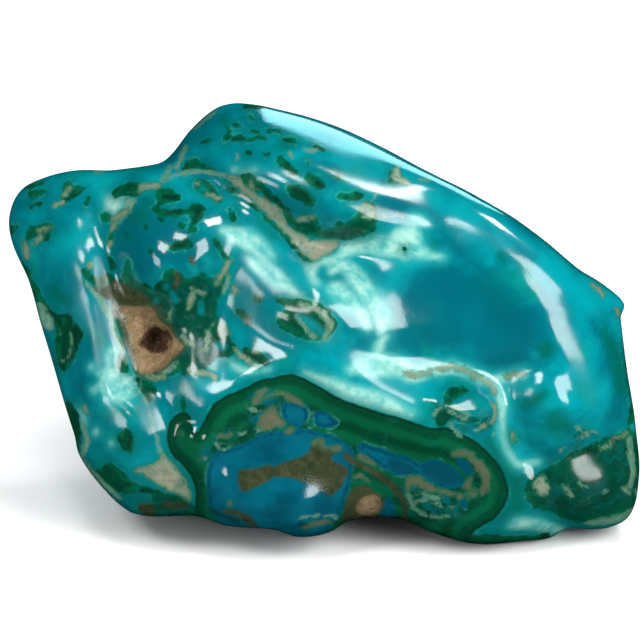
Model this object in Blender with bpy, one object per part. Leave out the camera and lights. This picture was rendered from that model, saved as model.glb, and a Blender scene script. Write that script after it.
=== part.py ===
"""A polished chrysocolla specimen: one tumbled stone with lobes, ridges, grooves and a small pit.

The stone is one solid. It starts as a cube whose grid is blown up to a ball, and every point of that
ball is then pushed out to the stone's surface by a formula. The formula works in the stone's own face
frame, in millimetres: u runs right and v runs up across the show face, and w comes out of it. The
finished points are turned into the row frame, where the show face leans back and the foot is flat.
"""

import math

import bmesh
import bpy
import numpy as np

MM = 0.001

# Driving dimensions, in millimetres.
HALF_LENGTH = 39.4
HALF_HEIGHT = 27.0
FRONT_DEPTH = 15.0
BACK_DEPTH = 18.5
LEAN_DEG = 22.0
FOOT_DEPTH = 24.8

# How square each half is in section: 2 is an ellipse, and more is boxier.
FRONT_SQUARENESS = 2.3
BACK_SQUARENESS = 2.7

# How fast the outline's dents fade towards the middle of each face, as a power.
FRONT_FADE = 3.0
BACK_FADE = 5.0

# The middle plane's lean and twist, and the waves of its rim: (height, waves round the rim, phase).
PLANE_LEAN = -0.12
PLANE_SLANT = 0.03
PLANE_TWIST = 0.003
RIM_WAVES = [(1.2, 3, 0.8), (0.6, 7, 2.0)]

# A faint waviness of both faces, as tumbling leaves: (height, waves per mm along u, along v, phase).
RIPPLES = [(0.35, 0.042, 0.018, 0.3), (0.30, -0.022, 0.050, 1.9), (0.16, 0.062, -0.048, 4.0)]

# The grid of the cube that the stone starts from: squares along u, v and w.
GRID = (40, 30, 16)

# The outline of the show face, (u, v), anticlockwise from the right end.
OUTLINE = [
    (37.0, 0.5), (37.4, 2.4), (34.8, 4.8), (31.6, 6.8), (27.8, 10.0), (24.0, 12.8), (18.8, 15.8),
    (12.8, 19.0), (7.2, 22.1), (0.9, 24.9), (-4.7, 26.5), (-9.0, 27.4), (-11.3, 27.5), (-13.4, 26.9),
    (-16.4, 24.4), (-18.9, 21.2), (-20.8, 19.9), (-26.3, 19.1), (-30.8, 19.1), (-34.6, 18.3),
    (-37.8, 16.7), (-39.3, 13.6), (-39.1, 10.5), (-36.8, 5.2), (-35.3, 0.0), (-33.8, -4.8),
    (-32.4, -9.3), (-30.9, -13.8), (-30.3, -16.3), (-27.7, -20.1), (-24.2, -23.3), (-21.8, -24.0),
    (-16.2, -23.9), (-12.2, -25.0), (-6.4, -25.5), (-3.0, -26.5), (0.8, -26.0), (3.0, -24.7),
    (6.0, -24.1), (9.8, -24.4), (14.0, -26.2), (18.5, -27.4), (24.5, -27.2), (28.2, -26.8),
    (30.6, -25.7), (35.2, -25.6), (38.2, -24.0), (39.4, -19.0), (39.0, -13.2), (37.8, -6.0),
]

# How flat the top of a rise is: 1 is a plain bell curve, and more is flatter.
RISE_FLATNESS = 1.6

# Relief on the show face. Each form is a path of (u, v, height, half width): it rises above the plain
# dome where the height is positive, and sinks into it where it is negative.
FRONT_RELIEF = {
    "upper_hump": [
        (-15.5, 21.8, 1.6, 4.6), (-9.1, 20.6, 3.1, 5.2), (-1.6, 17.3, 3.5, 5.2),
        (5.4, 14.0, 2.8, 4.6), (11.0, 11.0, 1.2, 3.8),
    ],
    "bulb": [(-20.2, 13.4, 2.6, 5.4), (-19.0, 10.6, 4.4, 6.6), (-17.6, 7.2, 3.0, 5.6)],
    "bulb_crease": [(-12.4, 13.0, -0.5, 2.1), (-11.6, 8.6, -0.9, 2.3), (-12.6, 4.0, -0.7, 2.2)],
    "bulb_moat": [(-26.6, 15.8, -0.8, 2.8), (-27.0, 11.0, -1.1, 2.9), (-25.4, 6.4, -1.0, 2.8)],
    "bulb_shoulder": [
        (-10.8, 11.4, 1.5, 4.4), (-7.0, 7.2, 2.0, 5.0), (-2.4, 2.2, 2.2, 5.2),
        (1.4, -2.4, 1.0, 4.2),
    ],
    "hump_groove": [
        (-20.5, 19.0, -0.5, 2.4), (-15.4, 16.9, -1.0, 2.6), (-10.2, 14.9, -1.3, 2.8),
        (-5.6, 11.1, -1.6, 3.0), (-1.4, 8.1, -1.5, 3.0), (3.4, 7.2, -0.8, 3.0),
    ],
    "hump_foot": [(0.9, 9.6, -1.0, 2.2), (6.5, 9.4, -1.4, 2.2), (12.1, 9.8, -0.7, 2.4)],
    "face_left_ridge": [
        (-0.6, 6.8, 0.5, 2.8), (1.6, 3.6, 1.2, 4.2), (3.8, -0.4, 1.2, 4.2), (6.0, -3.2, 0.4, 3.0),
    ],
    "face_hollow": [(11.4, 5.4, -0.4, 6.0), (14.0, 1.2, -0.6, 6.6), (18.0, -2.0, -0.5, 5.5)],
    "face_right_ridge": [
        (17.4, 12.8, 0.4, 3.8), (22.4, 8.6, 1.2, 4.8), (27.0, 2.6, 1.7, 5.6),
        (31.2, -5.2, 1.8, 5.2), (32.4, -10.3, 1.2, 4.2), (30.9, -14.7, 0.3, 3.2),
    ],
    "top_edge_roll": [
        (12.1, 16.6, 0.3, 3.2), (22.1, 12.2, 0.4, 3.2), (30.9, 5.9, 0.8, 2.6),
        (35.2, 2.2, 0.6, 2.0),
    ],
    "pale_valley": [
        (2.8, -3.7, -0.5, 2.8), (8.4, -4.5, -0.9, 3.0), (14.6, -4.9, -1.1, 2.9),
        (20.9, -6.6, -1.2, 2.7), (25.9, -5.7, -0.4, 2.4),
    ],
    "pale_valley_down": [(21.9, -7.4, -0.6, 2.4), (23.4, -11.2, -1.0, 2.4), (24.4, -15.3, -0.9, 2.4)],
    "green_knuckle": [(15.2, -9.1, 1.2, 2.7), (18.2, -9.4, 1.9, 2.7), (19.6, -10.3, 1.0, 2.2)],
    "ring_shoulder": [(26.5, -9.1, 1.4, 3.2), (29.0, -12.8, 1.8, 3.5)],
    "brow": [
        (-12.2, -10.7, 0.5, 2.8), (-7.6, -7.8, 1.1, 3.3), (-2.2, -6.6, 1.5, 3.7),
        (4.6, -8.2, 1.8, 3.8), (11.1, -11.3, 1.8, 3.8), (16.5, -14.2, 1.3, 3.6),
        (21.1, -17.0, 0.8, 3.3),
    ],
    "lower_hollow": [
        (-9.1, -17.2, -1.2, 5.0), (0.9, -17.4, -1.9, 5.8), (10.9, -19.1, -1.7, 5.0),
        (17.1, -20.9, -1.0, 4.0),
    ],
    "lower_lip_left": [(-6.6, -24.1, 0.5, 3.4), (-1.6, -23.7, 0.7, 3.4)],
    "lower_lip_right": [(14.6, -24.7, 0.8, 3.2), (20.9, -24.9, 1.4, 3.2)],
    "right_column": [(23.6, -20.6, 0.8, 2.8), (24.4, -23.2, 1.0, 2.8)],
    "right_lobe": [(29.6, -20.3, 1.3, 3.8), (34.0, -19.7, 2.1, 4.5), (36.5, -18.4, 1.4, 3.4)],
    "right_lobe_crease": [
        (27.0, -18.2, -0.6, 2.4), (29.6, -16.6, -1.1, 2.5), (33.4, -15.5, -1.3, 2.6),
        (38.1, -13.3, -0.8, 2.5),
    ],
    "pit": [(-21.9, 0.6, -2.2, 3.0), (-20.4, -2.2, -3.6, 3.0), (-21.6, -5.2, -1.4, 2.6)],
    "pit_hole": [(-20.6, -2.3, -1.6, 1.5)],
    "left_lobe": [(-33.5, 14.7, 1.8, 4.8), (-30.4, 12.0, 1.3, 4.8), (-29.8, 7.8, 0.9, 4.0)],
    "left_ridge": [
        (-30.6, 7.6, 0.7, 3.2), (-29.8, 2.8, 1.3, 3.8), (-28.9, -1.6, 1.4, 4.0),
        (-28.4, -7.2, 1.0, 4.0),
    ],
    "left_undercut": [(-36.4, 5.8, -0.6, 1.8), (-34.6, 2.1, -1.1, 1.8), (-32.8, -1.0, -1.1, 1.8)],
    "pit_left_valley": [(-25.2, 5.9, -0.6, 2.4), (-24.0, 0.3, -0.8, 2.5), (-22.9, -6.6, -0.7, 2.5)],
    "lower_left_bulge": [(-26.0, -10.9, 1.4, 4.0), (-23.5, -14.7, 2.2, 4.4)],
    "lower_left_crease": [
        (-20.4, -6.2, -0.7, 2.5), (-18.9, -10.3, -1.1, 2.6), (-18.2, -14.7, -1.3, 2.6),
        (-16.9, -19.4, -1.0, 2.6),
    ],
    "green_finger": [(-16.0, -14.7, 1.2, 2.0), (-13.5, -19.7, 0.8, 2.2)],
    "speckled_hollow": [(-13.5, 0.3, -1.3, 3.4), (-12.2, -3.4, -1.0, 3.2)],
    "eye_bump": [(-4.8, 0.6, 0.6, 2.4), (-2.0, 0.0, 0.9, 2.4)],
    "neck": [(-9.1, -4.7, 0.5, 2.8), (-1.6, -3.7, 0.4, 2.8)],
}

# Relief on the back, in the same form; u still runs right as seen from the show face.
BACK_RELIEF = {
    "back_hump": [(-22.0, 9.0, 2.2, 5.5), (-12.0, 13.0, 3.4, 6.0), (-1.0, 13.5, 2.2, 5.5)],
    "back_groove": [
        (-3.0, 21.0, -0.8, 3.2), (3.0, 13.0, -2.4, 3.6), (2.0, 4.0, -3.0, 4.0),
        (-5.0, -4.0, -2.2, 4.0), (-14.0, -7.0, -1.2, 4.0),
    ],
    "back_shoulder": [(12.0, 9.0, 2.0, 5.0), (20.0, 3.0, 3.4, 5.5), (27.0, -6.0, 2.6, 5.0)],
    "back_knob": [(6.0, -5.0, 1.8, 4.5), (11.0, -8.0, 2.4, 4.5)],
    "back_fold": [(17.0, -7.0, -1.2, 3.2), (21.0, -13.0, -1.8, 3.2)],
    "left_cheek": [(-30.0, 4.0, 1.2, 4.5), (-27.0, -5.0, 2.2, 5.0)],
    "cheek_dent": [(-20.0, 0.0, -1.4, 4.0), (-17.0, 2.0, -1.2, 4.0)],
    "heel": [
        (-22.0, -17.0, 4.0, 6.5), (-8.0, -19.0, 5.5, 7.0), (12.0, -19.0, 5.5, 7.0),
        (26.0, -18.0, 4.0, 6.5),
    ],
}


def smoothstep(low, high, x):
    """0 below low, 1 above high, and a smooth S between."""
    t = np.clip((x - low) / (high - low), 0.0, 1.0)
    return t * t * (3.0 - 2.0 * t)


def outline_radius(angle):
    """The outline's distance from the middle at each polar angle, by cubic Hermite pieces."""
    points = np.array(OUTLINE)
    phi = np.unwrap(np.arctan2(points[:, 1], points[:, 0]))
    radius = np.hypot(points[:, 0], points[:, 1])
    turn = 2.0 * math.pi
    phi = np.concatenate([phi[-2:] - turn, phi, phi[:3] + turn])
    radius = np.concatenate([radius[-2:], radius, radius[:3]])
    slope = (radius[2:] - radius[:-2]) / (phi[2:] - phi[:-2])
    phi, radius = phi[1:-1], radius[1:-1]
    angle = phi[0] + np.mod(angle - phi[0], turn)
    i = np.clip(np.searchsorted(phi, angle, side="right") - 1, 0, len(phi) - 2)
    step = phi[i + 1] - phi[i]
    t = (angle - phi[i]) / step
    return (
        radius[i] * (1 + 2 * t) * (1 - t) ** 2
        + slope[i] * step * t * (1 - t) ** 2
        + radius[i + 1] * t * t * (3 - 2 * t)
        + slope[i + 1] * step * t * t * (t - 1)
    )


def smooth_path(nodes, spacing=0.5):
    """A Catmull-Rom curve through the nodes, sampled about every spacing millimetres."""
    nodes = np.array(nodes, float)
    if len(nodes) == 1:
        return nodes
    ends = np.vstack([2 * nodes[0] - nodes[1], nodes, 2 * nodes[-1] - nodes[-2]])
    pieces = []
    for before, a, b, after in zip(ends, ends[1:], ends[2:], ends[3:]):
        count = max(2, int(np.hypot(*(b - a)[:2]) / spacing))
        t = np.linspace(0.0, 1.0, count, endpoint=False)[:, None]
        pieces.append(
            a
            + 0.5 * t * (b - before)
            + t * t * (before - 2.5 * a + 2 * b - 0.5 * after)
            + t**3 * (1.5 * (a - b) + 0.5 * (after - before))
        )
    return np.vstack(pieces + [nodes[-1:]])


def relief(u, v, forms):
    """The sum of the forms' heights, each falling off as a bell curve from its path.

    A dip is a plain bell. A rise has a flatter top and steeper sides, as a tumbled bulge has.

    A point takes the average of the bells centred along the path, weighted towards the nearest, so a
    bend in the path leaves no crease. The factor makes up for what that average takes off the height.
    """
    total = np.zeros_like(u)
    for nodes in forms.values():
        path = smooth_path(nodes)
        gap = ((u[:, None] - path[:, 0]) ** 2 + (v[:, None] - path[:, 1]) ** 2) / path[:, 3] ** 2
        weight = np.exp(-2.0 * (gap - gap.min(axis=1, keepdims=True)))
        bells = path[:, 2] * np.exp(-(gap ** np.where(path[:, 2] > 0, RISE_FLATNESS, 1.0)))
        total += math.sqrt(1.5) * (weight * bells).sum(axis=1) / weight.sum(axis=1)
    return total


def stone_surface(direction):
    """Pushes unit vectors (right, up, out of the face) out to the stone's surface, in face millimetres.

    A superellipse turns the ball into a pebble, its rim is drawn to the outline, its middle plane is
    warped, and each face's relief is added to its depth.
    """
    right, up, out = direction.T
    flat = np.hypot(right, up)
    front = out > 0
    power = np.where(front, FRONT_SQUARENESS, BACK_SQUARENESS)
    depth = np.where(front, FRONT_DEPTH, BACK_DEPTH)
    reach = (flat**power + np.abs(out) ** power) ** (-1.0 / power)
    u, v = HALF_LENGTH * right * reach, HALF_HEIGHT * up * reach
    angle = np.arctan2(v, u)
    plain = 1.0 / np.hypot(np.cos(angle) / HALF_LENGTH, np.sin(angle) / HALF_HEIGHT)
    fade = np.where(front, FRONT_FADE, BACK_FADE)
    drawn = 1 + (outline_radius(angle) / plain - 1) * (flat * reach) ** fade
    u, v = u * drawn, v * drawn
    w = depth * out * reach + PLANE_LEAN * v + PLANE_SLANT * u + PLANE_TWIST * u * v
    for height, waves, phase in RIM_WAVES:
        w += height * np.sin(waves * angle + phase) * (flat * reach) ** 4
    for height, along, across, phase in RIPPLES:
        w += height * np.sin(2.0 * math.pi * (along * u + across * v) + phase)
    w += smoothstep(0.0, 0.5, out * reach) * relief(u, v, FRONT_RELIEF)
    w -= smoothstep(0.0, 0.5, -out * reach) * relief(u, v, BACK_RELIEF)
    return np.stack([u, v, w], axis=1)


def stand_up(face_points):
    """Face millimetres to row metres: the face leans back, and the foot is ground flat."""
    lean = math.radians(LEAN_DEG)
    u, v, w = face_points.T
    y = v * math.sin(lean) - w * math.cos(lean)
    z = v * math.cos(lean) + w * math.sin(lean)
    z = np.maximum(z, -FOOT_DEPTH) + FOOT_DEPTH
    return np.stack([u, y, z], axis=1) * MM


def ball_directions(points):
    """A cube's grid points as unit vectors, with the tangent warp that keeps the squares even."""
    warped = np.tan(points * math.pi / 4.0)
    return warped / np.linalg.norm(warped, axis=1, keepdims=True)


def centred(points):
    """Moves the points so that the origin is under the middle of their box."""
    middle = (points.min(axis=0) + points.max(axis=0)) / 2.0
    return points - [middle[0], middle[1], 0.0]


def polished_stone_material():
    material = bpy.data.materials.new("polished_chrysocolla")
    material.use_nodes = True
    shader = material.node_tree.nodes["Principled BSDF"]
    shader.inputs["Base Color"].default_value = (0.01, 0.25, 0.29, 1.0)
    shader.inputs["Roughness"].default_value = 0.1
    shader.inputs["Metallic"].default_value = 0.0
    return material


def add_stone(collection):
    """The one solid, from a cube primitive."""
    bpy.ops.mesh.primitive_cube_add(size=2.0)
    stone = bpy.context.object
    stone.name = stone.data.name = "stone"
    for other in list(stone.users_collection):
        other.objects.unlink(stone)
    collection.objects.link(stone)
    grid = bmesh.new()
    grid.from_mesh(stone.data)
    for axis in range(3):
        along = [e for e in grid.edges if abs(e.verts[0].co[axis] - e.verts[1].co[axis]) > 1e-6]
        bmesh.ops.subdivide_edges(grid, edges=along, cuts=GRID[axis] - 1)
    grid.to_mesh(stone.data)
    grid.free()
    points = np.empty(len(stone.data.vertices) * 3)
    stone.data.vertices.foreach_get("co", points)
    points = centred(stand_up(stone_surface(ball_directions(points.reshape(-1, 3)))))
    stone.data.vertices.foreach_set("co", points.ravel())
    stone.data.update()
    stone.data.shade_smooth()
    stone.data.materials.append(polished_stone_material())
    return stone


def main():
    for old in list(bpy.data.objects):
        bpy.data.objects.remove(old)
    collection = bpy.data.collections.new("chrysocolla_specimen")
    bpy.context.scene.collection.children.link(collection)
    add_stone(collection)


main()
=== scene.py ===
# %% [markdown]
# # A polished chrysocolla specimen
#
# The real object is one palm-sized stone, tumbled until it shines. Its body is turquoise chrysocolla, and
# dark green malachite, pale seafoam crusts, tan matrix and a little native copper run through it.
# This lesson dresses the plain solid of that stone. The solid is loaded as a fixed frame, a finer surface
# is worked out over it from the same formula, the minerals are drawn on that surface as distances, and one
# material turns those distances into colour, gloss and grain.

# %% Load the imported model
import math

import bpy
import numpy as np
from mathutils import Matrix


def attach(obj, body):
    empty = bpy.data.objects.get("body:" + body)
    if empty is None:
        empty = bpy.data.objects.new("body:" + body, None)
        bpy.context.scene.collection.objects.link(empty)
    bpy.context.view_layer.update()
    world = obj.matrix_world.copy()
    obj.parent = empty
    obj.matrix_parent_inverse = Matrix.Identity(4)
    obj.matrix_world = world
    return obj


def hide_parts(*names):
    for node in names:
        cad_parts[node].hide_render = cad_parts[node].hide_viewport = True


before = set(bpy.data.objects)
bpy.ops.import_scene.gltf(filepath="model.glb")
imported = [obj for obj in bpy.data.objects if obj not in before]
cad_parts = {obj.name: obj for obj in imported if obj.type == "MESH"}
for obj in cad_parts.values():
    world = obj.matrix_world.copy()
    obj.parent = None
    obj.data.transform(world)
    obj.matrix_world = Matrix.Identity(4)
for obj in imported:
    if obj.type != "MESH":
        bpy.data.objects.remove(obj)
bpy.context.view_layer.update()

# %% [markdown]
# ## The form of the stone
#
# A tumbled stone has no straight edge and no flat but its foot. It could be sculpted by hand, or cut from a
# scan. Here it is a formula instead, the same one that made the solid: a pebble whose outline is drawn to
# measure, with every lobe, ridge, groove and hollow added as a smooth rise or dip along a short path.
# A formula can be asked for as many points as the finish needs, and it never drifts from the solid.
# All of it works in the face frame, in millimetres: u runs right and v runs up across the show face, and
# w comes out of it.

# %% The pebble's sizes, in millimetres
HALF_LENGTH, HALF_HEIGHT = 39.4, 27.0
FRONT_DEPTH, BACK_DEPTH = 15.0, 18.5
FRONT_SQUARENESS, BACK_SQUARENESS = 2.3, 2.7
FRONT_FADE, BACK_FADE = 3.0, 5.0
PLANE_LEAN, PLANE_SLANT, PLANE_TWIST = -0.12, 0.03, 0.003
RIM_WAVES = [(1.2, 3, 0.8), (0.6, 7, 2.0)]
RIPPLES = [(0.35, 0.042, 0.018, 0.3), (0.30, -0.022, 0.050, 1.9), (0.16, 0.062, -0.048, 4.0)]
LEAN_DEG, FOOT_DEPTH = 22.0, 24.8
MM = 0.001
print("Half length, half height and two depths:", HALF_LENGTH, HALF_HEIGHT, FRONT_DEPTH, BACK_DEPTH, "mm")

# %% The outline of the show face, (u, v), anticlockwise from the right end
OUTLINE = [
    (37.0, 0.5), (37.4, 2.4), (34.8, 4.8), (31.6, 6.8), (27.8, 10.0), (24.0, 12.8), (18.8, 15.8),
    (12.8, 19.0), (7.2, 22.1), (0.9, 24.9), (-4.7, 26.5), (-9.0, 27.4), (-11.3, 27.5), (-13.4, 26.9),
    (-16.4, 24.4), (-18.9, 21.2), (-20.8, 19.9), (-26.3, 19.1), (-30.8, 19.1), (-34.6, 18.3),
    (-37.8, 16.7), (-39.3, 13.6), (-39.1, 10.5), (-36.8, 5.2), (-35.3, 0.0), (-33.8, -4.8),
    (-32.4, -9.3), (-30.9, -13.8), (-30.3, -16.3), (-27.7, -20.1), (-24.2, -23.3), (-21.8, -24.0),
    (-16.2, -23.9), (-12.2, -25.0), (-6.4, -25.5), (-3.0, -26.5), (0.8, -26.0), (3.0, -24.7),
    (6.0, -24.1), (9.8, -24.4), (14.0, -26.2), (18.5, -27.4), (24.5, -27.2), (28.2, -26.8),
    (30.6, -25.7), (35.2, -25.6), (38.2, -24.0), (39.4, -19.0), (39.0, -13.2), (37.8, -6.0),
]
print("The outline has", len(OUTLINE), "corners, rounded by a curve")

# %% [markdown]
# The relief is a set of named forms. Each is a path of (u, v, height, half width), and the surface rises
# from it, or sinks where the height is negative, as a bell curve.

# %% Relief on the show face
FRONT_RELIEF = {
    "upper_hump": [
        (-15.5, 21.8, 1.6, 4.6), (-9.1, 20.6, 3.1, 5.2), (-1.6, 17.3, 3.5, 5.2),
        (5.4, 14.0, 2.8, 4.6), (11.0, 11.0, 1.2, 3.8),
    ],
    "bulb": [(-20.2, 13.4, 2.6, 5.4), (-19.0, 10.6, 4.4, 6.6), (-17.6, 7.2, 3.0, 5.6)],
    "bulb_crease": [(-12.4, 13.0, -0.5, 2.1), (-11.6, 8.6, -0.9, 2.3), (-12.6, 4.0, -0.7, 2.2)],
    "bulb_moat": [(-26.6, 15.8, -0.8, 2.8), (-27.0, 11.0, -1.1, 2.9), (-25.4, 6.4, -1.0, 2.8)],
    "bulb_shoulder": [
        (-10.8, 11.4, 1.5, 4.4), (-7.0, 7.2, 2.0, 5.0), (-2.4, 2.2, 2.2, 5.2),
        (1.4, -2.4, 1.0, 4.2),
    ],
    "hump_groove": [
        (-20.5, 19.0, -0.5, 2.4), (-15.4, 16.9, -1.0, 2.6), (-10.2, 14.9, -1.3, 2.8),
        (-5.6, 11.1, -1.6, 3.0), (-1.4, 8.1, -1.5, 3.0), (3.4, 7.2, -0.8, 3.0),
    ],
    "hump_foot": [(0.9, 9.6, -1.0, 2.2), (6.5, 9.4, -1.4, 2.2), (12.1, 9.8, -0.7, 2.4)],
    "face_left_ridge": [
        (-0.6, 6.8, 0.5, 2.8), (1.6, 3.6, 1.2, 4.2), (3.8, -0.4, 1.2, 4.2), (6.0, -3.2, 0.4, 3.0),
    ],
    "face_hollow": [(11.4, 5.4, -0.4, 6.0), (14.0, 1.2, -0.6, 6.6), (18.0, -2.0, -0.5, 5.5)],
    "face_right_ridge": [
        (17.4, 12.8, 0.4, 3.8), (22.4, 8.6, 1.2, 4.8), (27.0, 2.6, 1.7, 5.6),
        (31.2, -5.2, 1.8, 5.2), (32.4, -10.3, 1.2, 4.2), (30.9, -14.7, 0.3, 3.2),
    ],
    "top_edge_roll": [
        (12.1, 16.6, 0.3, 3.2), (22.1, 12.2, 0.4, 3.2), (30.9, 5.9, 0.8, 2.6),
        (35.2, 2.2, 0.6, 2.0),
    ],
    "pale_valley": [
        (2.8, -3.7, -0.5, 2.8), (8.4, -4.5, -0.9, 3.0), (14.6, -4.9, -1.1, 2.9),
        (20.9, -6.6, -1.2, 2.7), (25.9, -5.7, -0.4, 2.4),
    ],
    "pale_valley_down": [(21.9, -7.4, -0.6, 2.4), (23.4, -11.2, -1.0, 2.4), (24.4, -15.3, -0.9, 2.4)],
    "green_knuckle": [(15.2, -9.1, 1.2, 2.7), (18.2, -9.4, 1.9, 2.7), (19.6, -10.3, 1.0, 2.2)],
    "ring_shoulder": [(26.5, -9.1, 1.4, 3.2), (29.0, -12.8, 1.8, 3.5)],
    "brow": [
        (-12.2, -10.7, 0.5, 2.8), (-7.6, -7.8, 1.1, 3.3), (-2.2, -6.6, 1.5, 3.7),
        (4.6, -8.2, 1.8, 3.8), (11.1, -11.3, 1.8, 3.8), (16.5, -14.2, 1.3, 3.6),
        (21.1, -17.0, 0.8, 3.3),
    ],
    "lower_hollow": [
        (-9.1, -17.2, -1.2, 5.0), (0.9, -17.4, -1.9, 5.8), (10.9, -19.1, -1.7, 5.0),
        (17.1, -20.9, -1.0, 4.0),
    ],
    "lower_lip_left": [(-6.6, -24.1, 0.5, 3.4), (-1.6, -23.7, 0.7, 3.4)],
    "lower_lip_right": [(14.6, -24.7, 0.8, 3.2), (20.9, -24.9, 1.4, 3.2)],
    "right_column": [(23.6, -20.6, 0.8, 2.8), (24.4, -23.2, 1.0, 2.8)],
    "right_lobe": [(29.6, -20.3, 1.3, 3.8), (34.0, -19.7, 2.1, 4.5), (36.5, -18.4, 1.4, 3.4)],
    "right_lobe_crease": [
        (27.0, -18.2, -0.6, 2.4), (29.6, -16.6, -1.1, 2.5), (33.4, -15.5, -1.3, 2.6),
        (38.1, -13.3, -0.8, 2.5),
    ],
    "pit": [(-21.9, 0.6, -2.2, 3.0), (-20.4, -2.2, -3.6, 3.0), (-21.6, -5.2, -1.4, 2.6)],
    "pit_hole": [(-20.6, -2.3, -1.6, 1.5)],
    "left_lobe": [(-33.5, 14.7, 1.8, 4.8), (-30.4, 12.0, 1.3, 4.8), (-29.8, 7.8, 0.9, 4.0)],
    "left_ridge": [
        (-30.6, 7.6, 0.7, 3.2), (-29.8, 2.8, 1.3, 3.8), (-28.9, -1.6, 1.4, 4.0),
        (-28.4, -7.2, 1.0, 4.0),
    ],
    "left_undercut": [(-36.4, 5.8, -0.6, 1.8), (-34.6, 2.1, -1.1, 1.8), (-32.8, -1.0, -1.1, 1.8)],
    "pit_left_valley": [(-25.2, 5.9, -0.6, 2.4), (-24.0, 0.3, -0.8, 2.5), (-22.9, -6.6, -0.7, 2.5)],
    "lower_left_bulge": [(-26.0, -10.9, 1.4, 4.0), (-23.5, -14.7, 2.2, 4.4)],
    "lower_left_crease": [
        (-20.4, -6.2, -0.7, 2.5), (-18.9, -10.3, -1.1, 2.6), (-18.2, -14.7, -1.3, 2.6),
        (-16.9, -19.4, -1.0, 2.6),
    ],
    "green_finger": [(-16.0, -14.7, 1.2, 2.0), (-13.5, -19.7, 0.8, 2.2)],
    "speckled_hollow": [(-13.5, 0.3, -1.3, 3.4), (-12.2, -3.4, -1.0, 3.2)],
    "eye_bump": [(-4.8, 0.6, 0.6, 2.4), (-2.0, 0.0, 0.9, 2.4)],
    "neck": [(-9.1, -4.7, 0.5, 2.8), (-1.6, -3.7, 0.4, 2.8)],
}
print("Show face:", len(FRONT_RELIEF), "forms")

# %% [markdown]
# The solid keeps to forms that can be seen from a step away. The finished surface adds what a closer
# look finds: the fine line under the left edge, and the floor of the small hole in the copper pit.

# %% Finer relief, for the finished surface alone
FINE_RELIEF = {
    "pit_hole_floor": [(-21.0, -0.9, -0.5, 0.8), (-20.0, -2.2, -1.0, 1.0), (-21.0, -3.2, -0.5, 0.8)],
    "left_undercut_line": [
        (-36.6, 6.4, -0.2, 0.8), (-35.0, 3.0, -0.5, 0.9), (-33.2, -0.6, -0.5, 0.9),
        (-31.4, -2.4, -0.2, 0.8),
    ],
}
print("Finer relief:", len(FINE_RELIEF), "forms")

# %% [markdown]
# The back has fewer, larger and softer forms than the front. Its heel forms widen the stone above the
# foot, so that it stands without a prop.

# %% Relief on the back, with u still running right as seen from the show face
BACK_RELIEF = {
    "back_hump": [(-22.0, 9.0, 2.2, 5.5), (-12.0, 13.0, 3.4, 6.0), (-1.0, 13.5, 2.2, 5.5)],
    "back_groove": [
        (-3.0, 21.0, -0.8, 3.2), (3.0, 13.0, -2.4, 3.6), (2.0, 4.0, -3.0, 4.0),
        (-5.0, -4.0, -2.2, 4.0), (-14.0, -7.0, -1.2, 4.0),
    ],
    "back_shoulder": [(12.0, 9.0, 2.0, 5.0), (20.0, 3.0, 3.4, 5.5), (27.0, -6.0, 2.6, 5.0)],
    "back_knob": [(6.0, -5.0, 1.8, 4.5), (11.0, -8.0, 2.4, 4.5)],
    "back_fold": [(17.0, -7.0, -1.2, 3.2), (21.0, -13.0, -1.8, 3.2)],
    "left_cheek": [(-30.0, 4.0, 1.2, 4.5), (-27.0, -5.0, 2.2, 5.0)],
    "cheek_dent": [(-20.0, 0.0, -1.4, 4.0), (-17.0, 2.0, -1.2, 4.0)],
    "heel": [
        (-22.0, -17.0, 4.0, 6.5), (-8.0, -19.0, 5.5, 7.0), (12.0, -19.0, 5.5, 7.0),
        (26.0, -18.0, 4.0, 6.5),
    ],
}
print("Back:", len(BACK_RELIEF), "forms")

# %% [markdown]
# Three helpers carry the formula. The first is a smooth step, for blending one form into the next. Blender
# has its own for shaders, but the surface is worked out in numpy, so it needs one here.

# %% A smooth step
def smoothstep(low, high, x):
    """0 below low, 1 above high, and a smooth S between."""
    t = np.clip((x - low) / (high - low), 0.0, 1.0)
    return t * t * (3.0 - 2.0 * t)


print("A quarter of the way along, the step has risen", smoothstep(0.0, 1.0, 0.25))

# %% [markdown]
# The second turns the drawn outline into a distance from the middle for any direction. Straight lines
# between its corners would leave facets on the rim, so cubic curves with matching slopes join them.

# %% The outline's radius
def outline_radius(angle):
    """The outline's distance from the middle at each polar angle, by cubic Hermite pieces.

    Between two corners the radius starts and ends with each corner's own slope, which is the rise from
    the corner before it to the corner after it, divided by the turn between them.
    """
    points = np.array(OUTLINE)
    phi = np.unwrap(np.arctan2(points[:, 1], points[:, 0]))
    radius = np.hypot(points[:, 0], points[:, 1])
    turn = 2.0 * math.pi
    phi = np.concatenate([phi[-2:] - turn, phi, phi[:3] + turn])
    radius = np.concatenate([radius[-2:], radius, radius[:3]])
    slope = (radius[2:] - radius[:-2]) / (phi[2:] - phi[:-2])
    phi, radius = phi[1:-1], radius[1:-1]
    angle = phi[0] + np.mod(angle - phi[0], turn)
    i = np.clip(np.searchsorted(phi, angle, side="right") - 1, 0, len(phi) - 2)
    step = phi[i + 1] - phi[i]
    t = (angle - phi[i]) / step
    return (
        radius[i] * (1 + 2 * t) * (1 - t) ** 2
        + slope[i] * step * t * (1 - t) ** 2
        + radius[i + 1] * t * t * (3 - 2 * t)
        + slope[i + 1] * step * t * t * (t - 1)
    )


print("Radius to the right:", round(float(outline_radius(np.zeros(1))[0]), 2), "mm")

# %% [markdown]
# The third is the smooth curve that a form follows. It passes through every node, so a form stays where
# it was put, and its height and width change as smoothly as its place.

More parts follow.
